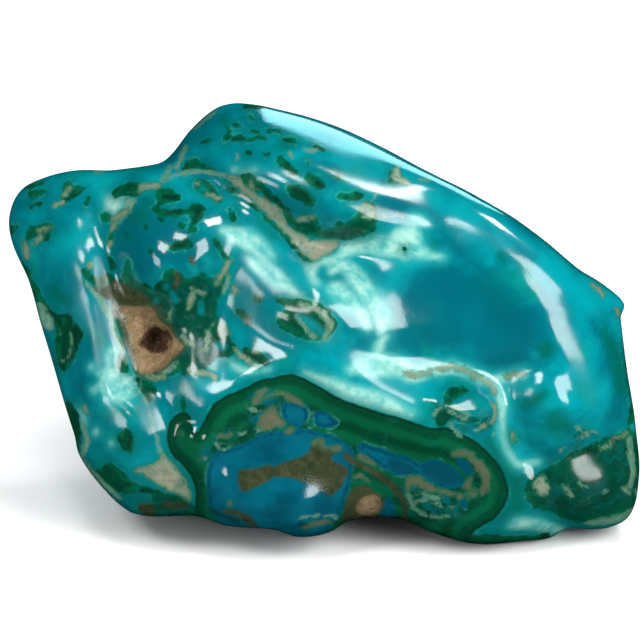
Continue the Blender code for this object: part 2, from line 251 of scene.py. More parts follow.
# %% A smooth path through nodes
def smooth_path(nodes, spacing=0.5):
    """A Catmull-Rom curve through the nodes, sampled about every spacing millimetres.

    Each piece leaves a node in the direction from the node before it to the node after it.
    """
    nodes = np.array(nodes, float)
    if len(nodes) == 1:
        return nodes
    ends = np.vstack([2 * nodes[0] - nodes[1], nodes, 2 * nodes[-1] - nodes[-2]])
    pieces = []
    for before, a, b, after in zip(ends, ends[1:], ends[2:], ends[3:]):
        count = max(2, int(np.hypot(*(b - a)[:2]) / spacing))
        t = np.linspace(0.0, 1.0, count, endpoint=False)[:, None]
        pieces.append(
            a
            + 0.5 * t * (b - before)
            + t * t * (before - 2.5 * a + 2 * b - 0.5 * after)
            + t**3 * (1.5 * (a - b) + 0.5 * (after - before))
        )
    return np.vstack(pieces + [nodes[-1:]])


print("The brow's path is sampled at", len(smooth_path(FRONT_RELIEF["brow"])), "points")

# %% [markdown]
# A form lifts the surface like a bell, highest on its path and gone at about twice its half width. Bells
# alone would make every swell pointed, so the rises have flatter tops.

# %% How a set of forms lifts the surface
RISE_FLATNESS = 1.6  # 1 is a plain bell curve, and more is flatter on top


def relief(u, v, forms):
    """The sum of the forms' heights, each falling off as a bell curve from its path.

    A dip is a plain bell. A rise has a flatter top and steeper sides, as a tumbled bulge has.

    A point takes the average of the bells centred along the path, weighted towards the nearest, so a
    bend in the path leaves no crease. The factor makes up for what that average takes off the height.
    """
    total = np.zeros_like(u)
    for nodes in forms.values():
        path = smooth_path(nodes)
        gap = ((u[:, None] - path[:, 0]) ** 2 + (v[:, None] - path[:, 1]) ** 2) / path[:, 3] ** 2
        weight = np.exp(-2.0 * (gap - gap.min(axis=1, keepdims=True)))
        bells = path[:, 2] * np.exp(-(gap ** np.where(path[:, 2] > 0, RISE_FLATNESS, 1.0)))
        total += math.sqrt(1.5) * (weight * bells).sum(axis=1) / weight.sum(axis=1)
    return total


print("The bulb rises", round(float(relief(np.array([-19.0]), np.array([10.6]), FRONT_RELIEF)[0]), 2), "mm")

# %% [markdown]
# Now the whole surface is one function of direction. It starts from a ball, and each of the ball's points
# moves to its own place on the stone, so what was closed stays closed.

# %% The stone's surface as a formula of direction
def stone_surface(direction):
    """Pushes unit vectors (right, up, out of the face) out to the stone's surface, in face millimetres.

    With a power p, a point's reach is one over the p-th root of the sum of two p-th powers: its distance
    from the ball's axis and its height along it. That is a superellipse, and it turns the ball into a
    pebble. The rim is then stretched to the outline, the middle plane is tilted and twisted, slow sine
    waves are added, and the relief of each side is added to its depth.

    Also returns how far behind the middle plane each point lies, in millimetres, for the drawing.
    """
    right, up, out = direction.T
    flat = np.hypot(right, up)
    front = out > 0
    power = np.where(front, FRONT_SQUARENESS, BACK_SQUARENESS)
    depth = np.where(front, FRONT_DEPTH, BACK_DEPTH)
    reach = (flat**power + np.abs(out) ** power) ** (-1.0 / power)
    u, v = HALF_LENGTH * right * reach, HALF_HEIGHT * up * reach
    angle = np.arctan2(v, u)
    plain = 1.0 / np.hypot(np.cos(angle) / HALF_LENGTH, np.sin(angle) / HALF_HEIGHT)
    fade = np.where(front, FRONT_FADE, BACK_FADE)
    drawn = 1 + (outline_radius(angle) / plain - 1) * (flat * reach) ** fade
    u, v = u * drawn, v * drawn
    w = depth * out * reach + PLANE_LEAN * v + PLANE_SLANT * u + PLANE_TWIST * u * v
    for height, waves, phase in RIM_WAVES:
        w += height * np.sin(waves * angle + phase) * (flat * reach) ** 4
    for height, along, across, phase in RIPPLES:
        w += height * np.sin(2.0 * math.pi * (along * u + across * v) + phase)
    face, rear = smoothstep(0.0, 0.5, out * reach), smoothstep(0.0, 0.5, -out * reach)
    w += face * (relief(u, v, FRONT_RELIEF) + relief(u, v, FINE_RELIEF))
    w -= rear * relief(u, v, BACK_RELIEF)
    return np.stack([u, v, w], axis=1), -depth * out * reach


front_middle = stone_surface(np.array([[0.0, 0.0, 1.0]]))[0][0]
print("The middle of the show face is at", np.round(front_middle, 2), "mm")

# %% [markdown]
# The drawing lives on an upright face, and the stone stands with that face leaning back. Turning the
# object would do it, but a finished piece stays unturned, so the points themselves are turned. What
# would sink below the floor is flattened onto it, which is how the foot is ground.

# %% From the face frame to the standing stone
def stand_up(face_points):
    """Face millimetres to standing metres: the face leans back, and the foot is ground flat."""
    lean = math.radians(LEAN_DEG)
    u, v, w = face_points.T
    y = v * math.sin(lean) - w * math.cos(lean)
    z = v * math.cos(lean) + w * math.sin(lean)
    z = np.maximum(z, -FOOT_DEPTH) + FOOT_DEPTH
    return np.stack([u, y, z], axis=1) * MM


def centred(points):
    """Moves the points so that the origin is under the middle of their box."""
    middle = (points.min(axis=0) + points.max(axis=0)) / 2.0
    return points - [middle[0], middle[1], 0.0]


print("The show face leans back by", LEAN_DEG, "degrees")

# %% [markdown]
# A ball made of latitude rings bunches its points at two poles, and a pinch there would catch the light.
# Six square grids, one for each side of a box, spread the points evenly instead. Each grid point has a
# whole-number address on the box, and points that share an address along an edge become one vertex, so
# the shell closes without a seam.

# %% Six grids that meet at their edges
SQUARES = np.array([180, 136, 64])


def box_sides(squares):
    """Whole-number addresses of each side's grid points, and the quads between them, facing outwards.

    A side is the box with one coordinate held at its lowest or highest value, and the other two run over
    a grid. The quad at (s, t) joins (s, t), (s + 1, t), (s + 1, t + 1) and (s, t + 1).
    """
    addresses, quads, count = [], [], 0
    for axis in range(3):
        one, two = (axis + 1) % 3, (axis + 2) % 3
        s, t = np.meshgrid(np.arange(squares[one] + 1), np.arange(squares[two] + 1), indexing="ij")
        number = count + np.arange(s.size).reshape(s.shape)
        ring = [number[:-1, :-1], number[1:, :-1], number[1:, 1:], number[:-1, 1:]]
        for end, order in ((0, [0, 3, 2, 1]), (squares[axis], [0, 1, 2, 3])):
            side = np.empty((s.size, 3), int)
            side[:, axis], side[:, one], side[:, two] = end, s.ravel(), t.ravel()
            offset = 0 if end == 0 else s.size
            addresses.append(side)
            quads.append(np.stack([ring[k].ravel() + offset for k in order], axis=1))
        count += 2 * s.size
    return np.vstack(addresses), np.vstack(quads)


def weld(addresses, quads):
    """One vertex for each different address, and the quads renumbered to match."""
    kept, renumbered = np.unique(addresses, axis=0, return_inverse=True)
    return kept, renumbered.reshape(-1)[quads]


lattice, quads = weld(*box_sides(SQUARES))
print("The welded box has", len(lattice), "corners and", len(quads), "quads")

# %% [markdown]
# A plain box blown up to a ball crowds its points into the corners. Spacing the grid lines by the tangent
# of equal angles first makes the squares nearly the same size all over the ball.

# %% From box to ball to stone
warped = np.tan((2.0 * lattice / SQUARES - 1.0) * math.pi / 4.0)
directions = warped / np.linalg.norm(warped, axis=1, keepdims=True)
face_points, behind = stone_surface(directions)
standing_points = centred(stand_up(face_points))
print("Stone surface:", len(standing_points), "points,", 2 * len(quads), "triangles")

# %% [markdown]
# from_pydata takes the points and quads as whole arrays and makes them a mesh, with no loop over vertices.
# The new piece rides on the object's one body and stands in for the plain solid.

# %% The finished surface as a mesh
def add_surface(name, points, faces):
    """A mesh object at the origin, smooth shaded, from whole arrays of points and faces."""
    mesh = bpy.data.meshes.new(name)
    mesh.from_pydata(points, [], faces)
    mesh.polygons.foreach_set("use_smooth", np.ones(len(faces), bool))
    mesh.update()
    piece = bpy.data.objects.new(name, mesh)
    bpy.context.scene.collection.objects.link(piece)
    return piece


stone = add_surface("polished_stone", standing_points, quads)
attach(stone, "root")
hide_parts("stone")
print(stone.name, "has", len(stone.data.vertices), "vertices and replaces the plain solid")

# %% [markdown]
# ## Drawing the minerals
#
# The colours of chrysocolla are separate minerals that grew in patches, veins and rings. A painted picture
# could show them, and so could noise alone, but a picture has only one sharpness and noise puts nothing in
# its place. Here each mineral is drawn as closed outlines and as strokes with a half width, in face
# millimetres, and every vertex stores its signed distance to the nearest edge, negative inside. A material
# can cut a clean edge from that distance at any zoom, and can also find the thin rims just outside it.

# %% A smooth closed curve
def smooth_loop(nodes, spacing=0.35):
    """A closed Catmull-Rom curve through the nodes, sampled about every spacing millimetres."""
    nodes = np.array(nodes, float)
    ring = np.vstack([nodes[-1:], nodes, nodes[:2]])
    pieces = []
    for before, a, b, after in zip(ring, ring[1:], ring[2:], ring[3:]):
        t = np.linspace(0.0, 1.0, max(2, int(np.hypot(*(b - a)) / spacing)), endpoint=False)[:, None]
        bend = t * t * (before - 2.5 * a + 2 * b - 0.5 * after)
        bend += t**3 * (1.5 * (a - b) + 0.5 * (after - before))
        pieces.append(a + 0.5 * t * (b - before) + bend)
    return np.vstack(pieces)


print("A square with 2 mm sides becomes", len(smooth_loop([(0, 0), (2, 0), (2, 2), (0, 2)])), "points")

# %% [markdown]
# A curve sampled that finely is as good as a chain of straight segments, and the distance to a segment is
# simple: slide along it to the nearest point, and measure from there. Whether a point is inside a closed
# outline is a separate question, and it is settled by counting crossings.

# %% How far each point is from a closed outline or a stroke
TINY = 1e-9


def gap_to_segments(u, v, start, end):
    """Distance from each point to each segment, and how far along the segment its nearest point is."""
    along = end - start
    length = np.maximum((along**2).sum(axis=1), TINY)
    du, dv = u[:, None] - start[:, 0], v[:, None] - start[:, 1]
    t = np.clip((du * along[:, 0] + dv * along[:, 1]) / length, 0.0, 1.0)
    return np.hypot(du - t * along[:, 0], dv - t * along[:, 1]), t


def shape_distance(u, v, nodes):
    """Signed distance to one shape: nodes of two numbers draw a closed outline, of three a stroke.

    A point is inside an outline if a ray to its right crosses the outline an odd number of times.
    """
    if len(nodes[0]) == 3:
        path = smooth_path(nodes, 0.3)
        if len(path) == 1:
            return np.hypot(u - path[0, 0], v - path[0, 1]) - path[0, 2]
        gap, t = gap_to_segments(u, v, path[:-1, :2], path[1:, :2])
        return (gap - path[:-1, 2] - t * (path[1:, 2] - path[:-1, 2])).min(axis=1)
    a = smooth_loop(nodes)
    b = np.roll(a, -1, axis=0)
    gap, _ = gap_to_segments(u, v, a, b)
    rise = np.where(b[:, 1] == a[:, 1], TINY, b[:, 1] - a[:, 1])
    crossing_u = a[:, 0] + (v[:, None] - a[:, 1]) * (b[:, 0] - a[:, 0]) / rise
    crossed = ((a[:, 1] > v[:, None]) != (b[:, 1] > v[:, None])) & (u[:, None] < crossing_u)
    return np.where(crossed.sum(axis=1) % 2 == 1, -1.0, 1.0) * gap.min(axis=1)


test_stroke = [(0.0, 0.0, 0.5), (4.0, 0.0, 0.5)]
print("2 mm beside a stroke:", shape_distance(np.array([2.0]), np.array([2.0]), test_stroke)[0], "mm")

# %% [markdown]
# A mineral has many shapes, and most points are nowhere near most of them. So each shape is measured only
# for the points round it, and everything further off than 4 mm is simply called far.

# %% The distance to a whole mineral
FAR = 4.0


def mineral_distance(u, v, regions):
    """The smallest signed distance to any shape of a mineral, in millimetres, never more than FAR."""
    nearest = np.full(len(u), FAR)
    for shape in (nodes for region in regions.values() for nodes in region):
        points = np.array(shape)
        reach = FAR + (points[:, 2].max() if points.shape[1] == 3 else 0.0)
        low, high = points[:, :2].min(axis=0) - reach, points[:, :2].max(axis=0) + reach
        near = np.flatnonzero((u > low[0]) & (u < high[0]) & (v > low[1]) & (v < high[1]))
        nearest[near] = np.minimum(nearest[near], shape_distance(u[near], v[near], shape))
    return nearest


def count_shapes(title, regions):
    """Prints how many closed outlines and how many strokes a mineral is drawn with."""
    shapes = [nodes for region in regions.values() for nodes in region]
    strokes = sum(len(nodes[0]) == 3 for nodes in shapes)
    print(f"{title}: {len(shapes) - strokes} outlines and {strokes} strokes")


print("Distances are kept up to", FAR, "mm")

# %% [markdown]
# Most thin strokes keep one half width all the way along, so a small helper writes it only once.

# %% A stroke of even width
def even(half_width, *places):
    """A stroke through the places, (u, v), with the same half width at each."""
    return [(u, v, half_width) for u, v in places]


print("An even stroke:", even(0.28, (0.0, 0.0), (1.0, 0.5)))

# %% [markdown]
# The drawing covers only the show face. The back needs the same minerals without a drawing, so they come
# from clouds in three dimensions. Blender's mathutils has noise too, but it takes one point at a time.
# This small one takes them all at once, and it is the same on every run.

# %% Clouds in three dimensions, from a seeded table of random heights
def clouds(points, size, seed):
    """Smooth noise from about -1 to 1 whose blobs are size millimetres across.

    Each point takes the heights at the eight corners of its cell in a repeating random lattice, and mixes
    them with smooth weights.
    """
    table = np.random.default_rng(seed).uniform(-1.0, 1.0, (32, 32, 32))
    place = points / size + 100.0
    cell = np.floor(place).astype(int)
    part = place - cell
    part = part * part * (3.0 - 2.0 * part)
    total = 0.0
    for corner in np.ndindex(2, 2, 2):
        weight = np.prod(np.where(corner, part, 1.0 - part), axis=1)
        i, j, k = ((cell + corner) % 32).T
        total = total + weight * table[i, j, k]
    return total * 1.6


cloud_test = clouds(standing_points / MM, 6.0, 1)
print("Clouds run from", round(cloud_test.min(), 2), "to", round(cloud_test.max(), 2))

# %% [markdown]
# Malachite is the dark green copper carbonate that fills the cracks and hollows of the stone. It lies in
# islands with bays and points, so each island is drawn by its own outline, and the smallest specks are
# single dots.

# %% Malachite patches
MALACHITE = {
    "left lobe": [
        [(-32.2, 17.3), (-31.4, 17.6), (-30.9, 17.1), (-29.9, 16.9), (-29.4, 16.7), (-29.9, 16.2),
         (-30.4, 15.8), (-31.1, 15.2), (-31.6, 14.8), (-32.1, 14.7), (-32.4, 15.3), (-32.1, 16.2),
         (-32.4, 16.8)],
        even(0.28, (-29.2, 15.6), (-29.1, 14.9), (-29.2, 14.6)),
        [(-36.6, 12.1), (-35.6, 11.9), (-34.9, 12.3), (-34.1, 12.6), (-33.5, 12.2), (-33.4, 11.7),
         (-33.6, 11.2), (-33.8, 10.4), (-34.1, 10.1), (-34.6, 10.1), (-34.9, 10.6), (-35.4, 10.8),
         (-36.1, 10.3), (-36.9, 9.9), (-37.1, 10.3), (-36.8, 11.1)],
        even(0.28, (-36.9, 16.8), (-35.9, 17.2), (-35.1, 17.4)),
        [(-36.6, 16.1, 0.28), (-36, 15.9, 0.56), (-35.2, 16.2, 0.44), (-34.5, 16.3, 0.28)],
        even(0.28, (-36.1, 14.4), (-35.6, 14.6), (-35.1, 14.7)),
        [(-39.9, 11.8, 0.38), (-38.9, 11.6, 0.5), (-38.1, 11.9, 0.28)],
    ],
    "valley": [
        [(-26.1, 15.6), (-25.9, 16.3), (-25.2, 16.8), (-24.4, 17.1), (-23.5, 17.4), (-22.6, 17.4),
         (-22.8, 16.7), (-22.4, 16.1), (-23.1, 15.4), (-24.1, 15.7), (-24.9, 15.7), (-25.6, 15.3)],
        [(-27.4, 13.4), (-26.8, 13.7), (-26.1, 13.2), (-25.8, 12.8), (-26.4, 12.3), (-26.9, 12.2),
         (-27.4, 12.6)],
        even(0.28, (-25.8, 11.1), (-26, 10.6), (-26.2, 9.9)),
        [(-26.1, 7.9, 0.3), (-25.9, 7.3, 0.38), (-25.8, 6.8, 0.28)],
        [(-29.9, 6.9), (-28.9, 6.4), (-28.1, 5.6), (-27.1, 5.8), (-26.2, 6.1), (-25.4, 5.3), (-24.8, 5.4),
         (-24.5, 6.6), (-24.1, 7.8), (-23.5, 7.7), (-23.5, 6.4), (-22.9, 5.2), (-21.6, 4.6), (-20.4, 3.8),
         (-21.6, 2.8), (-23.1, 2.7), (-25.4, 3.3), (-27.1, 4.1), (-28.4, 4.8), (-29.4, 5.6)],
    ],
    "left edge": [
        [(-37.9, 7.6), (-36.6, 6.6), (-36.2, 5.6), (-35.4, 4.2), (-34.4, 2.6), (-33.6, 1.4), (-32.6, 0.9),
         (-31.6, 1.1), (-30.6, 0.3), (-29.6, -0.7), (-29.5, -1.7), (-30, -2.8), (-30.4, -4.1),
         (-30.9, -4.9), (-31.6, -5.8), (-32.2, -5.9), (-32.8, -4.9), (-33.1, -3.7), (-33.2, -2.2),
         (-33.1, -0.9), (-33.8, 0.3), (-34.5, 1.4), (-35.4, 2.4), (-36.6, 3.3), (-37.6, 4.7)],
        [(-33.9, -9.4), (-31.9, -9.7), (-31.1, -9.9), (-30.5, -10.7), (-30.1, -11.4), (-29.9, -12.7),
         (-29.8, -13.9), (-30, -15.2), (-30.5, -16.2), (-31.6, -16.2), (-32.9, -12.8)],
        even(0.28, (-25.6, 1.4), (-25.1, 0.1), (-24.6, -1.7), (-24.5, -3.2)),
        [(-25, -3.9), (-24.5, -3.7), (-24.1, -4.4), (-24, -5.3), (-23.8, -6.1), (-24.4, -6.2),
         (-24.9, -5.7), (-25.2, -4.9)],
    ],
    "pit border": [
        [(-21.9, 3.2), (-20.6, 4.3), (-19.6, 5.2), (-19.2, 6.3), (-18.5, 6.6), (-17.6, 6.1), (-16.6, 5.4),
         (-15.6, 5.6), (-14.6, 6.1), (-13.6, 5.4), (-12.6, 5.8), (-11.6, 6.8), (-11.9, 5.1), (-12.6, 3.3),
         (-13.1, 1.8), (-12.6, 0.3), (-11.6, -0.7), (-11.1, -2.2), (-10.4, -3.4), (-11.4, -4.2),
         (-12.6, -4.3), (-13.9, -5.2), (-14.6, -6.1), (-15.9, -6.1), (-16.9, -6.3), (-17.6, -6.1),
         (-18.4, -6.4), (-19.4, -6.8), (-20.9, -7.2), (-22.1, -6.8), (-23, -6.4), (-23.4, -5.4),
         (-22.6, -2.2), (-21.6, 1.6)],
        [(-22.9, -6.7), (-22.1, -7.1), (-21.4, -7.2), (-20.6, -7.7), (-20.4, -8.4), (-20.8, -9.4),
         (-21.2, -9.8), (-21.8, -9.1), (-22.4, -8.2), (-22.8, -7.4)],
        [(-17, -7.8, 0.28), (-17.1, -8.9, 0.28), (-17, -9.9, 0.33), (-16.9, -11.1, 0.28)],
    ],
    "bulb": [
        [(-20.6, 16.3), (-19.6, 16.6), (-18.6, 16.4), (-17.9, 15.8), (-17.4, 15.6), (-17.5, 15.1),
         (-18.1, 14.8), (-18.9, 14.6), (-19.6, 14.3), (-20.2, 14.6), (-20.4, 15.3)],
        [(-21.1, 14.1), (-20.4, 14.3), (-19.8, 13.9), (-18.5, 13.9), (-17.2, 13.9), (-16.4, 13.8),
         (-16.1, 14.6), (-15.6, 14.7), (-14.9, 14.6), (-14.4, 13.9), (-14.5, 13.2), (-15, 12.6),
         (-15.4, 11.8), (-15.4, 10.9), (-16, 10.8), (-16.6, 11.1), (-16.1, 11.8), (-16.2, 12.8),
         (-16.6, 13.2), (-17.4, 12.9), (-18.1, 12.9), (-19.1, 12.9), (-19.6, 12.4), (-20.1, 12.6),
         (-20.2, 13.4), (-20.8, 13.7)],
        [(-19.2, 9.3), (-18.4, 9.6), (-17.4, 10.1), (-16.6, 10.2), (-15.9, 9.8), (-16, 9.1), (-17.1, 8.8),
         (-18.4, 8.8)],
        [(-21.6, 11.6, 0.28)],
        even(0.28, (-24, 10.8), (-23.8, 10.4)),
        [(-17.2, 11.8, 0.38)],
        [(-21, 8.7, 0.28)],
        [(-16, 17.1), (-15.6, 17.6), (-14.6, 17.6), (-13.8, 17.2), (-13.2, 16.4), (-12.8, 15.8),
         (-12.5, 14.9), (-12.9, 14.8), (-13.6, 15.3), (-14.6, 15.7), (-15.4, 16.2)],
        even(0.28, (-11.4, 13.8), (-11.1, 13.2), (-11, 12.7)),
        even(0.28, (-13.2, 10.2), (-12.6, 9.2), (-12, 8.2), (-11.4, 7.6)),
    ],
    "shoulder": [
        [(-8.2, 3.3, 0.4), (-8, 2.8, 0.45)],
        [(-10.4, 1.4, 0.28), (-9.6, 0.8, 0.53), (-9.1, 0.1, 0.33)],
        [(-9.9, -3.3), (-9.1, -3.1), (-8.1, -3.3), (-7.1, -3.9), (-6.5, -4.7), (-6.9, -5.1), (-8.1, -4.8),
         (-9.1, -4.3), (-9.8, -3.8)],
        [(-5.6, 3.2), (-4.4, 3.1), (-2.9, 2.9), (-1.4, 2.7), (-0.1, 2.1), (0.9, 1.2), (1.6, 0.1),
         (1.4, -1.1), (0.6, -1.8), (-0.6, -2.2), (-2.1, -2.1), (-3.6, -1.4), (-4.9, -0.7), (-5.6, 0.2),
         (-5.2, 1.1), (-4.6, 1.8), (-5.4, 2.4)],
    ],
    "upper hump": [
        [(-12.4, 22.7), (-12.1, 23.2), (-11.6, 23.3), (-10.9, 23.2), (-10, 23.1), (-9.5, 22.7),
         (-8.8, 22.8), (-8.1, 23.2), (-7.4, 23.2), (-6.9, 22.9), (-7.1, 22.6), (-8.1, 22.4), (-8.9, 22.3),
         (-9.6, 22.2), (-10.4, 22.4), (-11.1, 22.6), (-11.9, 22.4), (-12.2, 22.2)],
        [(-11, 24.4, 0.3), (-10.5, 24.4, 0.33)],
        even(0.28, (-11.9, 24.1), (-11.5, 23.7)),
        even(0.28, (-8.6, 23.6), (-8.1, 23.6)),
        even(0.28, (-6.6, 23.6), (-5.9, 23.7), (-5.1, 23.4)),
        even(0.28, (-14.8, 22.3), (-14.2, 22.7)),
        [(-9.2, 20.9, 0.3), (-8.9, 20.8, 0.28)],
        even(0.28, (-7.1, 20.6), (-6.6, 20.7)),
        [(-5.9, 19.9), (-5.4, 20.4), (-4.8, 20.3), (-4.4, 19.7), (-3.9, 19.3), (-3.4, 18.9), (-3.1, 18.3),
         (-3.5, 17.9), (-4.1, 18.4), (-4.9, 18.9), (-5.6, 19.3)],
        even(0.28, (-1.9, 19.9), (-1.8, 19.6)),
        [(-4.6, 22.4, 0.3), (-4, 22.6, 0.4), (-3.4, 22.2, 0.28)],
        even(0.28, (-0.9, 21.6), (0.1, 21.2)),
        [(-2.4, 17.6), (-1.9, 18.1), (-1, 18.1), (-0.1, 17.7), (0.2, 17.1), (0.1, 16.3), (-0.6, 16.2),
         (-1.4, 16.6), (-2.1, 17.1)],
        [(-4.6, 16.6), (-3.8, 16.8), (-2.6, 16.7), (-2, 16.3), (-1.2, 15.7), (-0.9, 14.9), (-1.1, 14.3),
         (-2, 14.3), (-2.6, 14.8), (-3.4, 15.3), (-4.1, 15.8)],
        [(1.5, 15.4), (2.1, 15.9), (3.1, 15.8), (4.1, 15.9), (4.8, 15.7), (4.6, 15.1), (3.6, 14.8),
         (2.6, 14.8), (1.8, 15.1)],
        even(0.28, (1.8, 18.1), (1.9, 17.7)),
        even(0.28, (-9.1, 25.6), (-8.6, 25.2)),
        even(0.28, (-9.6, 26.9), (-8.4, 26.8), (-7.6, 26.7)),
    ],
    "hump edge": [
        [(-10.1, 18.1), (-9.4, 18.4), (-8.6, 18.3), (-8, 17.7), (-7.4, 17.1), (-6.6, 16.2), (-5.9, 15.7),
         (-5.1, 15.1), (-4.6, 14.4), (-4.1, 13.8), (-3.5, 12.8), (-3.2, 11.9), (-4.1, 11.8), (-4.6, 12.6),
         (-4.9, 13.6), (-5.4, 14.3), (-6, 14.7), (-6.6, 14.8), (-7.1, 15.3), (-7.6, 15.8), (-8.1, 15.8),
         (-8.9, 16.1), (-9.5, 16.6), (-9.9, 17.3)],
        [(-4.8, 13.3), (-4.1, 12.6), (-3.1, 12.8), (-2.4, 13.2), (-1.4, 13.1), (-0.6, 12.8), (-0.5, 11.8),
         (0.4, 11.4), (1.2, 11.7), (1.9, 12.4), (2.8, 12.2), (3.5, 12.6), (3.9, 13.2), (4.4, 13.8),
         (5.1, 14.6), (5.9, 14.7), (6.6, 14.1), (6.9, 13.1), (6.6, 12.1), (6.2, 11.1), (5.4, 10.7),
         (4.1, 10.3), (2.6, 10.2), (1.1, 10.2), (-0.4, 10.3), (-1.6, 10.6), (-2.9, 11.1), (-3.9, 11.6)],
        [(-17.4, 18.8), (-17.1, 19.6), (-16.4, 20.2), (-15.6, 20.2), (-14.9, 19.7), (-14.1, 19.2),
         (-13.2, 18.8), (-12.8, 18.2), (-13.6, 18.4), (-14.6, 18.8), (-15.6, 18.9), (-16.6, 18.9)],
        even(0.28, (-11.9, 16.6), (-10.4, 15.9), (-9.1, 14.9), (-7.9, 13.7), (-6.6, 12.6), (-5.4, 11.4),
             (-4.1, 10.1), (-3.1, 8.8), (-2.1, 7.8), (-1.4, 7.6)),
        even(0.28, (8.4, 18.3), (8.5, 17.7), (8.2, 17.2)),
        [(9.9, 8.9, 0.28)],
    ],
    "knuckle": [
        [(13.6, -11.4), (14.1, -10.3), (15, -9.6), (14.6, -8.8), (15.6, -7.9), (17.1, -7.9), (17.9, -8.4),
         (16.9, -8.9), (15.9, -9.4), (15.5, -10.2), (16.2, -10.7), (17.2, -11.2), (18.4, -11.4),
         (19.2, -11.8), (18.4, -12.2), (16.9, -12.1), (15.6, -11.7), (14.9, -12.3), (14.1, -12.7)],
        [(23.1, -13.7, 0.28), (23.6, -14.6, 0.3)],
    ],
    "lower left": [
        [(-24.6, -13.1), (-24, -12.8), (-23.4, -13.4), (-23.1, -14.4), (-23.1, -15.4), (-23.4, -16.1),
         (-24, -15.9), (-24.5, -15.3), (-24.9, -14.4), (-25, -13.7)],
        [(-29.6, -17.4), (-28.1, -18.2), (-27.1, -17.8), (-26.5, -17.3), (-25.8, -17.3), (-25, -17.9),
         (-24.1, -18.8), (-22.9, -19.7), (-21.4, -20.3), (-19.6, -20.7), (-19.9, -21.2), (-21.6, -20.9),
         (-23.1, -20.7), (-24.4, -21.1), (-25.6, -20.9), (-26.9, -20.6), (-28.1, -19.9)],
        [(-20.9, -20.9), (-19.1, -20.9), (-17.6, -21.4), (-16.4, -22.2), (-15.6, -23.2), (-15.9, -24.7),
         (-19.1, -25.2), (-20.9, -24.7)],
    ],
    "right lobe": [
        [(25, -21.4), (24.8, -20.1), (25.5, -18.9), (26.9, -18.2), (28.4, -17.4), (29.6, -16.6),
         (30.4, -15.8), (32.1, -15.4), (33.6, -14.7), (35.1, -14.2), (36.6, -13.6), (38.1, -13.2),
         (40.2, -14.7), (40.9, -18.4), (40.6, -22.2), (38.9, -24.2), (36.1, -24.3), (33.4, -24.6),
         (30.9, -24.6), (29.4, -24.1), (28.1, -23.2), (27.1, -23.1), (25.9, -22.7)],
        [(37.4, -4.7, 0.28), (38, -7.2, 0.33), (38.4, -9.7, 0.4), (38.4, -11.6, 0.38), (37.9, -12.7, 0.28)],
    ],
    "underside": [
        [(13.4, -25.8), (15.9, -26.4), (18.1, -26.2), (20.2, -26.1), (22.8, -26.3), (25.9, -26.4),
         (27.8, -26.1), (27.8, -28.4), (13.4, -28.7)],
        [(-3.2, -24.7), (-2.5, -23.9), (-1, -23.6), (0.9, -23.4), (1.9, -23.9), (1.4, -25.2),
         (-0.1, -26.2), (-2.9, -26.8), (-3.9, -25.9)],
    ],
}
count_shapes("Malachite patches", MALACHITE)

# %% [markdown]
# Under the brow lies one great ring of malachite. It could be a thick stroke, but its inner side can't be
# seen, so only its outer edge is drawn. The pools inside it are drawn later, and cover its middle.

# %% The big malachite ring
RING = {
    "outer edge": [
        [(-15.8, -24.7), (-15.6, -20.9), (-16, -19.1), (-17, -17.7), (-18.1, -16.6), (-18.8, -15.4),
         (-19, -13.9), (-18.8, -12.3), (-18.1, -11.3), (-17.1, -10.9), (-16.2, -11.4), (-15.9, -12.6),
         (-15.4, -13.4), (-14.8, -12.6), (-14.1, -11.2), (-13.4, -9.9), (-11.9, -8.9), (-10, -8.2),
         (-8.1, -7.2), (-6, -6.6), (-3.9, -6.3), (-2.1, -6.8), (-0.1, -7.9), (1.9, -9.1), (4.1, -9.9),
         (6.6, -10.7), (9.1, -11.4), (11.1, -12.2), (13.1, -12.7), (14.9, -12.7), (16.6, -13.4),
         (18.4, -14.3), (20, -15.6), (21.4, -17.3), (22.4, -19.2), (22.8, -20.9), (22.2, -22.6),
         (21.1, -24.1), (19.4, -25.2), (18.1, -26.4), (17.4, -29.2), (-2.9, -29.7), (-15.8, -27.2)],
    ],
}
count_shapes("The big malachite ring", RING)

# %% [markdown]
# Inside the ring the hollow is filled with blue agate, in one wide pool and a row of ovals. Some of the
# ovals have a darker eye, drawn inside them.

